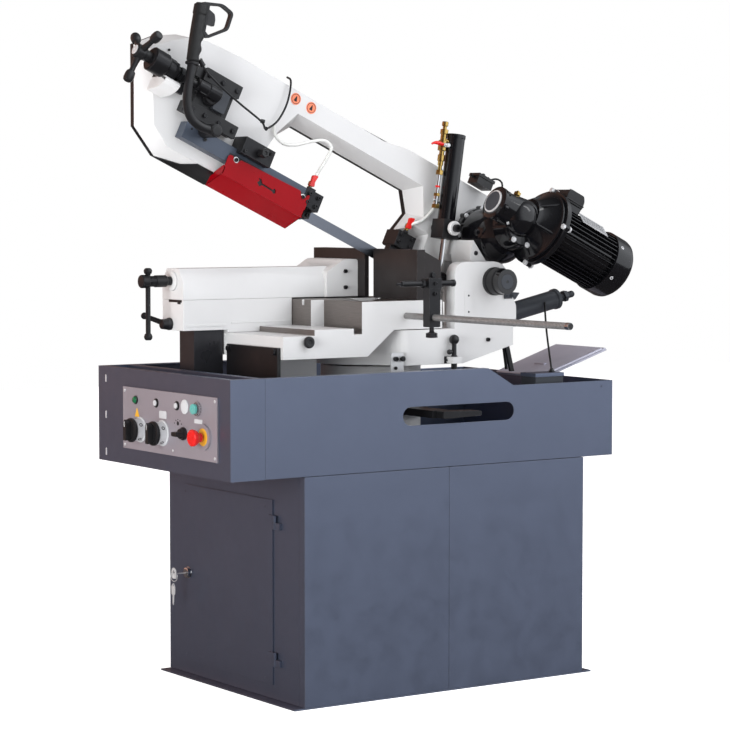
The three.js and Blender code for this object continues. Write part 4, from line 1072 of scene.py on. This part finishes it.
    for name, body, x, y, z in (("front_tap", "guide", -486, -24, 28), ("rear_tap", "bow", -182, -26, 55)):
        barrel = Shape(BOW)
        barrel.turned((x, y, z - 2), (0, 0, 1), [(0, 5), (6, 5), (8, 7), (16, 7), (18, 4.5), (24, 4)], 20)
        piece(name + "_barrel", barrel, body, BRASS, bevel=0.2)
        wing = Shape(BOW)
        outline = rounded([(x - 7, z + 2, 2), (x + 7, z + 4, 3), (x + 4, z + 16, 3), (x + 8, z + 34, 5),
            (x - 8, z + 30, 5),
                           (x - 6, z + 16, 4)])
        wing.slab("xz", outline, y - 10, y - 2)
        wing.rod((x, y - 9, z + 10), (x, y - 1, z + 10), 5, 16)
        piece(name + "_wing", wing, body, RED_PLASTIC, bevel=1)


def guard():
    plate = Shape(BOW)
    front = rounded([(-748, -60), (-748, -10, 4), (-738, -8), (-735, -10), (-731, -20, 5), (-719, -20, 5),
        (-715, -10),
                     (-712, -8), (-532, -2), (-529, -5), (-525, -14, 5), (-513, -14, 5), (-509, -5),
                         (-506, -2),
                     (-502, -2, 3), (-502, -60)])
    mark = rounded([(-652, -36, 2), (-646, -30), (-652, -24, 2), (-641, -25, 2), (-636, -32),
        (-604, -34, 2), (-600, -28, 1),
                    (-594, -32), (-594, -39), (-600, -42, 1), (-604, -38, 2), (-636, -37), (-641, -43, 2)])
    plate.slab("xz", front, -68.2, -65.6, holes=[mark])
    low = [Vector((-748, -68.2, -58)), Vector((-502, -68.2, -58)), Vector((-502, -13.5, -89.5)),
        Vector((-748, -13.5, -89.5))]
    thick = Vector((0, 1.6, 2.6))
    plate._skin([low, [p + thick for p in low]])
    for x in (-748, -504.4):
        side = [(-68.2, -58), (-68.2, -40), (-60, -36), (-20, -60), (-13.5, -84), (-13.5, -89.5)]
        plate.slab("yz", side, x, x + 2.4)
    obj = piece("blade_guard_shell", plate, "guide", RED, bevel=0.5)
    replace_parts(obj, "blade_guard")
    back = Shape(BOW)
    back.box((-745, -505), (-65.4, -62.4), (-24, -4))
    for x in (-725, -519):
        back.cap_screw((x, -65.4, -13), (0, -1, 0), 4.6)
    back.slab("xz", rect(-660, -588, -46, -18), -65.4, -64.4)
    piece("guard_backing", back, "guide", SATIN, bevel=0.2)
    shine = Shape(BOW)
    for x in (-725, -519):
        shine.washer((x, -65.5, -13), (0, -1, 0), 4.8, 7.6, 1.2, 24)
    piece("guard_washers", shine, "guide", ALLOY, bevel=0)


def star_handle():
    x, y, z = -1066, -76, 97
    star = Shape(BOW)
    for degrees in (38, 145, -85):
        a = math.radians(degrees)
        way = Vector((0, math.cos(a), math.sin(a)))
        hub = Vector((x, y, z))
        star.turned(hub + way * 8, way, [(0, 10), (12, 8), (30, 6.4), (46, 6.8), (50, 9)], 20)
        star.turned(hub + way * 52, way, [(-6, 7), (-2, 10.5), (5, 12), (14, 12), (20, 10.5), (23, 6)], 24)
    star.turned((x - 14, y, z), (1, 0, 0), [(0, 14), (3, 17), (22, 17), (26, 14), (42, 13)], 36)
    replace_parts(piece("star_grip", star, "tension_handle", BLACK, bevel=0.4),
        "tension_handle")
    cap = Shape(BOW)
    cap.turned((x - 14, y, z), (-1, 0, 0), [(-0.5, 11.5), (1, 11.5), (2, 10), (2, 5), (1.2, 4.6)], 32)
    piece("star_cap", cap, "tension_handle", ALLOY, bevel=0)

    sleeve = Shape(BOW)
    sleeve.turned((-1037, y, z), (1, 0, 0), [(0, 25), (3, 29), (40, 29), (44, 26)], 44)
    sleeve.slab("yz", rounded([(-31, 72), (-31, 124), (-88, 122, 14), (-100, 108, 10), (-100, 86, 10),
        (-84, 72, 10)]), -992, -976)
    sleeve.box((-976, -908), (-40, -30.5), (68, 126))
    sleeve.hexagon((-976, y, z), (1, 0, 0), 40, 12)
    sleeve.turned((-964, y, z), (1, 0, 0), [(0, 14), (8, 14), (9, 12)], 28)
    sleeve.hexagon((-955, y, z), (1, 0, 0), 34, 10)
    sleeve.turned((-945, y, z), (1, 0, 0), [(0, 17), (5, 17), (6, 12), (14, 12)], 28)
    sleeve.hexagon((-931, y, z), (1, 0, 0), 30, 9)
    obj = piece("tension_sleeve", sleeve, "bow", OXIDE, bevel=0.6)
    lug = Shape(BOW)
    lug.slab("yz", rounded([(-29.5, 40), (-29.5, 76), (-62, 76, 4), (-100, 74, 10), (-98, 58, 10),
        (-70, 44, 12)]), -992, -950)
    piece("tension_lug", lug, "bow", ENAMEL, bevel=2.5, segments=3)

    gibs = Shape(BOW)
    gibs.slab("xz", rounded([(-884, 119, 2), (-884, 151, 2), (-778, 151, 2), (-778, 119, 2)]), -66, -54)
    gibs.slab("xz", rounded([(-892, 28, 2), (-750, 28, 2), (-750, 60, 2), (-892, 60, 2)]), -66, -54)
    gibs.box((-902, -752), (-55, -30.4), (32, 58))
    gibs.box((-902, -780), (-55, -30.4), (121, 148))
    gibs.box((-794, -780), (-44, -30.4), (57, 122))
    piece("tension_gibs", gibs, "bow", SATIN, bevel=0.9)
    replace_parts(obj, "tension_guide")
    bolts = Shape(BOW)
    for bx, bz in ((-872, 135), (-832, 135), (-790, 135), (-882, 44), (-846, 44), (-804, 44), (-762, 44)):
        bolts.hex_bolt((bx, -66, bz), (0, -1, 0), 10)
    piece("gib_bolts", bolts, "bow", OXIDE, bevel=0.3)

    slide = Shape(BOW)
    slide.box((-886, -806), (-62, -36), (60.4, 117.6))
    slide.box((-890, -870), (-88, -55), (82, 111))
    slide.rod((-980, y, z), (-880, y, z), 8, 20)
    slide.turned((-850, -62, 89), (0, -1, 0), [(-20, 21), (6, 21), (8, 18), (14, 18), (16, 15), (16, 6)], 36)
    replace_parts(piece("slide_plate", slide, "tension", SATIN, bevel=0.8), "tension_slide")
    housing = Shape(BOW)
    housing.turned((-902, y - 4, z), (1, 0, 0), [(0, 12), (2, 15), (30, 15), (32, 17), (64, 17), (66, 14),
        (66, 8)], 32)
    piece("tension_rod_housing", housing, "tension", OXIDE, bevel=0.4)
    block = Shape(BOW)
    block.slab("xz", rounded([(-838, 66, 3), (-804, 66, 3), (-804, 117, 3), (-838, 117, 3)]), -74, -61.5)
    piece("slide_block", block, "tension", IRON, bevel=0.8)
    thread = Shape(BOW)
    for k in range(22):
        thread.turned((-976 + k * 2.2, y, z), (1, 0, 0), [(0, 7.8), (0.5, 8.8), (1.1, 8.8), (1.6, 7.8)], 20)
    piece("tension_thread", thread, "tension", STEEL, bevel=0)


def handle():
    y = -112
    route = [(-822, y, 11), (-845, y, 6), (-872, y, 3), (-900, y, 10), (-920, y, 30), (-934, y, 62),
        (-944, y, 100),
             (-950, y, 128)]
    bar = Shape(BOW)
    bar.sweep(through(route, 44), 10.6, 24)
    bar.rod((-832, -124, 10), (-832, -64.4, 10), 16, 32, chamfer=2)
    bar.turned((-832, -124, 10), (0, -1, 0), [(-1, 13), (2, 12), (3, 8)], 28)
    top = Vector((-986, y, 262))
    foot = Vector((-950, y, 124))
    way = (top - foot).normalized()
    bar.turned(foot - way * 3, way, [(0, 13), (2, 16), (6, 16), (8, 14)], 28)
    obj = piece("handle_tube", bar, "bow", SATIN, bevel=0.3)
    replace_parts(obj, "feed_handle")

    grip = Shape(BOW)
    across = Vector((way.z, 0, -way.x))
    rings = []
    length = (top - foot).length
    for k in range(61):
        share = k / 60
        wave = 1.6 * math.cos(2 * math.pi * share * 4.5) * math.sin(math.pi * min(1,
            share * 1.3)) if share < 0.78 else 0
        swell = 14.6 + 1.6 * math.sin(math.pi * share) + (1.5 if 0.80 < share < 0.97 else 0)
        swell *= 1 - max(0, (0.03 - share)) * 8 - max(0, (share - 0.97)) * 8
        centre = foot + way * (4 + (length - 4) * share)
        loop = []
        for p in ring(0, 0, 1, 28):
            finger = wave * max(0, p.x) * 2.2
            loop.append(centre + across * (p.x * (swell + finger)) + Vector((0, 1, 0)) * (p.y * swell * 0.9))
        rings.append(loop)
    grip._skin(rings)
    piece("handle_grip", grip, "bow", GRIP, bevel=0)

    strap = Shape(BOW)
    outer = rounded([(-984, 266.1, 3), (-936, 285.4, 9), (-901, 280, 10), (-898, 236, 8), (-940, 194, 5),
        (-958, 198)], 5)
    inner = rounded([(-966, 266.1, 3), (-936, 279.5, 7), (-907, 275, 7), (-904, 239, 6), (-941, 201, 4),
        (-952, 206)], 5)
    strap.slab("xz", outer, y - 7, y + 7, holes=[inner])
    piece("hand_guard", strap, "bow", SATIN, bevel=0.6)
    lever = Shape(BOW)
    lever.slab("xz", rounded([(-974, 260, 2), (-945, 254, 4), (-938, 242, 4), (-935, 227, 3),
        (-958, 222, 2)]), y - 5, y + 5)
    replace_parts(piece("trigger_lever", lever, "trigger", BLACK, bevel=1), "trigger")
    knot = Shape(BOW)
    knot.rod((-936, -112, 142), (-920, -112, 133), 6, 16)
    piece("lead_gland", knot, "bow", BLACK, bevel=0.4)
    ties = Shape(BOW)
    ties.turned((-716, -92.5, 93), (1, -0.2, 0.2), [(0, 5), (9, 5)], 12)
    ties.turned((-676, -56, 94), (0.6, 0.8, 0.1), [(0, 4.4), (10, 4.4)], 12)
    piece("lead_ties", ties, "bow", BLACK, bevel=0.3)


# ---------- gearbox and motor ----------
def gearbox():
    y, z = -250, 166
    box = Shape(BOW)
    box.turned((5, -31, 103), (0, -1, 0), [(0, 56), (4, 59), (12, 59), (14, 56), (31, 56)], 48)
    ring_bolts = drum(box, (0, -70, 122), (0, -1, 0), 70, 9, 8)
    box.turned((0, -79, 122), (0, -1, 0), [(0, 66), (14, 69), (70, 70), (92, 68), (104, 62), (126, 50),
        (136, 40)], 48)
    for k in range(10):
        a = 2 * math.pi * k / 10
        rib = Vector((62 * math.cos(a), 0, 62 * math.sin(a)))
        box.turned(Vector((0, -78, 122)) + rib, (0, -1, 0), [(0, 8), (40, 6), (78, 2)], 10)
    front_bolts = drum(box, (-20, -262, 146), (0, -1, 0), 52, 8, 7)
    box.turned((-20, -218, 140), (0, -1, 0.1), [(0, 60), (30, 56), (42, 52)], 44)
    box.turned((-36, -262, 154), (0, -1, 0), [(0, 46), (8, 45), (20, 42), (30, 36), (37, 27), (41, 16),
        (42.4, 6)], 48)
    box.turned((-119, y, z - 4), (1, 0, 0), [(0, 30), (2, 36), (4, 42), (14, 42), (16, 38), (40, 40),
        (70, 44), (112, 50)], 44)
    cone_bolts = drum(box, (-104, y, z - 4), (1, 0, 0), 39, 5, 6)
    box.turned((-14, y, z), (1, 0, 0), [(0, 52), (14, 56), (32, 74), (42, 86), (44, 92), (51.6, 92)], 52)
    for k in range(6):
        a = 2 * math.pi * k / 6 + 0.3
        foot = Vector((-8, y + 50 * math.cos(a), z + 50 * math.sin(a)))
        tip = Vector((34, y + 84 * math.cos(a), z + 84 * math.sin(a)))
        box.rod(foot, tip, 5, 10)
    obj = piece("gear_housing", box, "bow", GLOSS, bevel=1.2)
    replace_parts(obj, "gearbox")
    bolts = Shape(BOW)
    for spot in front_bolts:
        bolts.hex_bolt(spot + Vector((0, -8, 0)), (0, -1, 0), 10)
    for spot in ring_bolts:
        bolts.hex_bolt(spot + Vector((0, -9, 0)), (0, -1, 0), 9)
    for spot in cone_bolts:
        bolts.cap_screw(spot - Vector((5, 0, 0)), (-1, 0, 0), 3.6)
    piece("gearbox_bolts", bolts, "bow", ALLOY, bevel=0.2)
    cap = Shape(BOW)
    cap.turned((-119, y, z - 4), (-1, 0, 0), [(-1, 29.5), (2, 29.5), (3, 28)], 44)
    piece("worm_cap_ring", cap, "bow", ALLOY, bevel=0.2)
    disc = Shape(BOW)
    disc.turned((-122, y, z - 4), (-1, 0, 0), [(-0.5, 25.5), (0.8, 25.5), (1.2, 24)], 44)
    piece("worm_cap", disc, "bow", IRON, bevel=0)
    plug = Shape(BOW)
    plug.hexagon((-60, y, z + 40), (0, 0, 1), 16, 8)
    plug.turned((-60, y, z + 47), (0, 0, 1), [(0, 5), (4, 4), (5, 2)], 16)
    piece("oil_plug", plug, "bow", BRASS, bevel=0.4)


def motor():
    y, z = -250, 166
    r = 75
    body = Shape(BOW)
    flange_bolts = drum(body, (45, y, z), (1, 0, 0), 99, 7, 4)
    body.turned((51, y, z), (1, 0, 0), [(0, 90), (6, 84), (12, r), (20, r - 8), (150, r - 8), (196, r - 8)],
        56)
    fins = 38
    for k in range(fins):
        a = 2 * math.pi * k / fins
        if 1.05 < a < 2.09:
            continue
        way = Vector((0, math.cos(a), math.sin(a)))
        side = Vector((0, -math.sin(a), math.cos(a)))
        centre = Vector((0, y, z))
        loop = [centre + way * (r - 10) - side * 1.7, centre + way * (r - 10) + side * 1.7,
            centre + way * (r + 1) + side * 1.1,
                centre + way * (r + 1) - side * 1.1]
        body._skin([[p + Vector((70, 0, 0)) for p in loop], [p + Vector((243, 0, 0)) for p in loop]])
    body.slab("xz", rounded([(60, z + 60), (108, z + 60), (113, z + r + 8), (55, z + r + 8)]), y - 38, y + 38)
    obj = piece("motor_body", body, "bow", GLOSS, bevel=0.8)
    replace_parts(obj, "drive_motor")
    box = Shape(BOW)
    box.slab("xz", rounded([(55, z + r + 6), (113, z + r + 6), (113, z + r + 26, 4), (106, z + r + 39, 5),
        (61, z + r + 39, 5),
                            (55, z + r + 28, 4)]), y - 41, y + 41)
    box.box((53.5, 114.5), (y - 42.5, y + 42.5), (z + r + 11, z + r + 15))
    piece("terminal_box", box, "bow", SATIN, bevel=2.2, segments=3)
    cowl = Shape(BOW)
    cowl.turned((238, y, z), (1, 0, 0), [(0, r + 2), (1, r + 4), (46, r + 4), (54, r + 2), (61, r - 4),
        (65, r - 12), (66.6, r - 24),
                                        (66.6, 44), (64, 43), (64, 10)], 64)
    piece("fan_cowl", cowl, "bow", GLOSS, bevel=0.5)
    grille = Shape(BOW)
    for radius in (14, 23, 32, 41):
        grille.washer((302, y, z), (1, 0, 0), radius, radius + 4, 2.4, 40)
    for k in range(4):
        a = math.pi * k / 4
        grille.rod((303.4, y - 44 * math.cos(a), z - 44 * math.sin(a)),
            (303.4, y + 44 * math.cos(a), z + 44 * math.sin(a)), 1.6, 8)
    piece("cowl_grille", grille, "bow", SATIN, bevel=0)
    bits = Shape(BOW)
    for spot in flange_bolts:
        bits.hex_bolt(spot + Vector((7, 0, 0)), (1, 0, 0), 12)
        bits.hexagon(spot - Vector((7, 0, 0)), (-1, 0, 0), 12, 7)
    for a in (0.5, 2.6, 3.7, 5.7):
        way = Vector((0, math.cos(a), math.sin(a)))
        bits.flat_screw(Vector((252, y, z)) + way * (r + 3.6), way, 5)
    for bx, by in ((64, y - 34), (102, y - 34), (64, y + 34), (102, y + 34)):
        bits.flat_screw((bx, by, z + r + 38.8), (0, 0, 1), 3.4)
    piece("motor_bolts", bits, "bow", ALLOY, bevel=0.2)
    plate = Shape(BOW)
    a = math.radians(128)
    way = Vector((0, math.cos(a), math.sin(a)))
    side = Vector((0, -math.sin(a), math.cos(a)))
    centre = Vector((0, y, z)) + way * (r + 1)
    loop = [centre - side * 21, centre + side * 21, centre + side * 21 + way * 1.4,
        centre - side * 21 + way * 1.4]
    plate._skin([[p + Vector((112, 0, 0)) for p in loop], [p + Vector((200, 0, 0)) for p in loop]])
    piece("rating_plate", plate, "bow", ALLOY, bevel=0.3)
    lines = Shape(BOW)
    for k in (-12, -4, 4, 12):
        line = [centre + side * (k - 0.7) + way * 1.3, centre + side * (k + 0.7) + way * 1.3,
            centre + side * (k + 0.7) + way * 1.7,
                centre + side * (k - 0.7) + way * 1.7]
        lines._skin([[p + Vector((118, 0, 0)) for p in line], [p + Vector((194, 0, 0)) for p in line]])
    piece("rating_plate_lines", lines, "bow", SATIN, bevel=0)


# ---------- damper ----------
def damper():
    y = -75
    swing = JOINTS["damper_swing"]
    stroke = JOINTS["damper_stroke"]
    to_bow = BOW.inverted()
    top = to_bow @ Vector(swing["pos_m"])
    top.y = y
    axis = (-(to_bow.to_3x3() @ Vector(stroke["axis"]))).normalized()
    at = lambda d: top + axis * d
    tube = Shape(BOW)
    tube.turned(at(18), axis, [(0, 20), (1, 22.5), (206, 22.5), (208, 23.6), (217, 23.6), (218, 21.5),
        (218, 17), (216, 16)], 44)
    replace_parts(piece("damper_barrel", tube, "damper_tube", GLOSS, bevel=0.4), "damper_tube")
    side = axis.cross(Vector((0, 1, 0))).normalized()
    base = Shape(BOW)
    corners = [at(-27) + side * a + Vector((0, b, 0)) for a,
        b in ((-24, -25), (24, -25), (24, 25), (-24, 25))]
    base._skin([corners, [p + axis * 48 for p in corners]])
    base.rod((top.x, -106, top.z), (top.x, -31, top.z), 13, 24)
    piece("damper_block", base, "damper_tube", SATIN, bevel=1.2)

    dress(CHROME, 0, "damper_rod")
    eye = Shape(STAND)
    foot = Vector((141, -75, 985))
    eye.turned(foot + Vector((0, -11, 0)), (0, 1, 0), [(0, 18), (2, 19), (20, 19), (21, 18)], 32)
    eye.turned(foot + Vector((0, -11, 0)), (0, -1, 0), [(0, 9), (5, 9), (6, 7)], 24)
    piece("rod_eye", eye, "damper_rod", OXIDE, bevel=0.4)

    hub = at(150) + Vector((-34, 8, 0))
    up = lambda d: hub + axis * d
    valve = Shape(BOW)
    valve.turned(up(-6), axis, [(0, 7), (10, 7), (11, 9), (26, 9), (27, 6.5), (36, 6.5), (37, 11.5),
        (62, 11.5), (63, 8), (78, 8),
                               (79, 10), (90, 10), (91, 5), (98, 5), (99, 8), (109, 8), (110, 6)], 24)
    valve.hexagon(up(-30), axis, 17, 12)
    valve.turned(up(-18), axis, [(0, 5), (14, 5)], 18)
    tap = up(60)
    valve.rod(tap, tap + Vector((14, -6, -2)), 5, 14)
    obj = piece("valve_body", valve, "damper_tube", BRASS, bevel=0.4)
    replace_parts(obj, "flow_valve")
    tube2 = Shape(BOW)
    tube2.turned(up(-112), axis, [(0, 6.5), (36, 6.5), (37, 4.5), (84, 4.5)], 20)
    tube2.rod(up(-96) + Vector((-8, 0, 0)), up(-96) + Vector((22, -2, -4)), 4, 14)
    piece("valve_pipe", tube2, "damper_tube", CHROME, bevel=0.2)
    band = Shape(BOW)
    band.turned(up(-62), axis, [(0, 6), (5, 6)], 20)
    piece("valve_band", band, "damper_tube", RED_PLASTIC, bevel=0.2)
    nut = Shape(BOW)
    nut.hexagon(up(-114), axis, 18, 10)
    nut.hexagon(up(-84), axis, 15, 8)
    piece("valve_nuts", nut, "damper_tube", BRASS, bevel=0.4)
    pivot = up(44) + Vector((0, -22, 0))
    side = Vector((axis.z, 0, -axis.x))
    lever = Shape(BOW)
    path = [pivot + side * d + axis * h for d, h in ((-14, 0), (-22, 0.5), (-34, 1), (-44, -1), (-49, -4))]
    lever.sweep(through(path, 16), lambda share: 2.6 + 2.4 * math.sin(math.pi * min(1, 0.12 + share)), 16)
    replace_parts(piece("valve_handle", lever, "valve_lever", RED_PLASTIC, bevel=0),
        "valve_lever")
    stem = Shape(BOW)
    stem.rod(pivot + Vector((0, 10, 0)), pivot + Vector((0, -2, 0)), 5, 18)
    stem.rod(pivot + side * 3, pivot - side * 15, 2.4, 12)
    stem.ball(pivot - side * 8, 4.6)
    stem.hexagon(pivot + Vector((0, -2, 0)), (0, -1, 0), 9, 3)
    piece("valve_stem", stem, "valve_lever", ALLOY, bevel=0.2)


def limit_switch_details():
    cap = Shape(BOW)
    cap.box((-60, -6), (-64, -20), (262, 270))
    cap.turned((-33, -42, 270), (0, 0, 1), [(0, 7.5), (3, 7.5), (6, 5), (9, 4)], 20)
    cap.turned((-24, -42, 262), (0.5, -0.2, 0.8), [(0, 7), (8, 6), (16, 4)], 16)
    cap.rod((-60, -42, 258), (-70, -42, 262), 4, 12)
    piece("switch_cap", cap, "bow", BLACK, bevel=0.8)


bow_body()
guard()
star_handle()
handle()
gearbox()
motor()
damper()
limit_switch_details()


# ---------- studio ----------
FLOOR_HALF = 9            # metres
FLOOR_GLOW = 0.85         # what the camera sees of the floor, so that it meets the white surround with no edge
AIM = Vector((0, 0, 0.9))  # every lamp points here
LAMPS = (  # name, place, size, watts, colour, glossy
    ("key", (2.4, -3.6, 2.8), (2.2, 2.2), 20, (0.97, 0.985, 1.0), False),
    ("left", (-5.4, -2.0, 1.3), (3.0, 3.0), 290, (0.95, 0.985, 1.0), False),
    ("top", (-0.2, -0.4, 4.2), (3.0, 3.0), 30, (1, 1, 1), False),
    ("strip", (1.6, -1.6, 3.4), (0.5, 2.2), 12, (1, 1, 1), True),
    ("back", (1.4, 3.4, 2.6), (2.0, 2.0), 50, (1, 1, 1), False),
    ("front", (-1.4, -4.8, 0.7), (2.6, 1.6), 16, (1, 1, 1), False),
)


def backdrop():
    floor = bpy.data.meshes.new("floor")
    corners = [(x * FLOOR_HALF, y * FLOOR_HALF, 0) for x, y in ((-1, -1), (1, -1), (1, 1), (-1, 1))]
    floor.from_pydata(corners, [], [(0, 1, 2, 3)])
    ground = bpy.data.objects.new("floor", floor)
    bpy.context.scene.collection.objects.link(ground)
    n = Nodes("studio_floor", 0.6, specular=0.1)
    path = n.add("ShaderNodeLightPath")
    pale = n.blend(n.spread(n.noise(3, 2), 0, 1), (0.95, 0.95, 0.95), (0.97, 0.97, 0.97))
    n.colour(n.blend(path.outputs["Is Glossy Ray"], pale, (0.10, 0.09, 0.09)))
    n.set("Emission Color", (1, 1, 1, 1))
    n.link(n.spread(path.outputs["Is Camera Ray"], 0, FLOOR_GLOW, 0, 1), n.shader.inputs["Emission Strength"])
    n.material.cycles.emission_sampling = "NONE"
    floor.materials.append(n.material)


def surround():
    """White to the camera, a soft even fill, and a reflected room that is dark and warm on the left."""
    world = bpy.data.worlds.new("studio")
    world.use_nodes = True
    bpy.context.scene.world = world
    tree = world.node_tree
    add, link = tree.nodes.new, tree.links.new
    dot = add("ShaderNodeVectorMath")
    dot.operation = "DOT_PRODUCT"
    dot.inputs[1].default_value = (0.60, -0.74, 0.30)
    link(add("ShaderNodeTexCoord").outputs["Generated"], dot.inputs[0])
    ramp = add("ShaderNodeValToRGB")
    stops = ((0.05, (0.60, 0.33, 0.25, 1)), (0.50, (0.05, 0.05, 0.052, 1)), (0.70, (0.20, 0.205, 0.215, 1)),
             (0.90, (1.35, 1.40, 1.48, 1)))
    while len(ramp.color_ramp.elements) < len(stops):
        ramp.color_ramp.elements.new(0.5)
    for element, (position, colour) in zip(ramp.color_ramp.elements, stops):
        element.position = position
        element.color = colour
    spread = add("ShaderNodeMapRange")
    spread.inputs["From Min"].default_value = -1
    link(dot.outputs["Value"], spread.inputs["Value"])
    link(spread.outputs["Result"], ramp.inputs["Fac"])
    path = add("ShaderNodeLightPath")
    background = tree.nodes["Background"]
    seen = mix_colours(tree, path.outputs["Is Camera Ray"], ramp.outputs["Color"], (1.0, 1.0, 1.0))
    link(seen, background.inputs["Color"])
    background.inputs["Strength"].default_value = 1.0


def lamp(name, place, size, power, colour, glossy):
    data = bpy.data.lights.new(name, "AREA")
    data.shape = "RECTANGLE"
    data.size, data.size_y = size
    data.energy = power
    data.color = colour
    obj = bpy.data.objects.new(name, data)
    bpy.context.scene.collection.objects.link(obj)
    obj.location = place
    obj.rotation_euler = (AIM - Vector(place)).to_track_quat("-Z", "Y").to_euler()
    obj.visible_glossy = glossy


def studio():
    bpy.context.scene.view_settings.view_transform = "Standard"
    backdrop()
    surround()
    for settings in LAMPS:
        lamp(*settings)


studio()
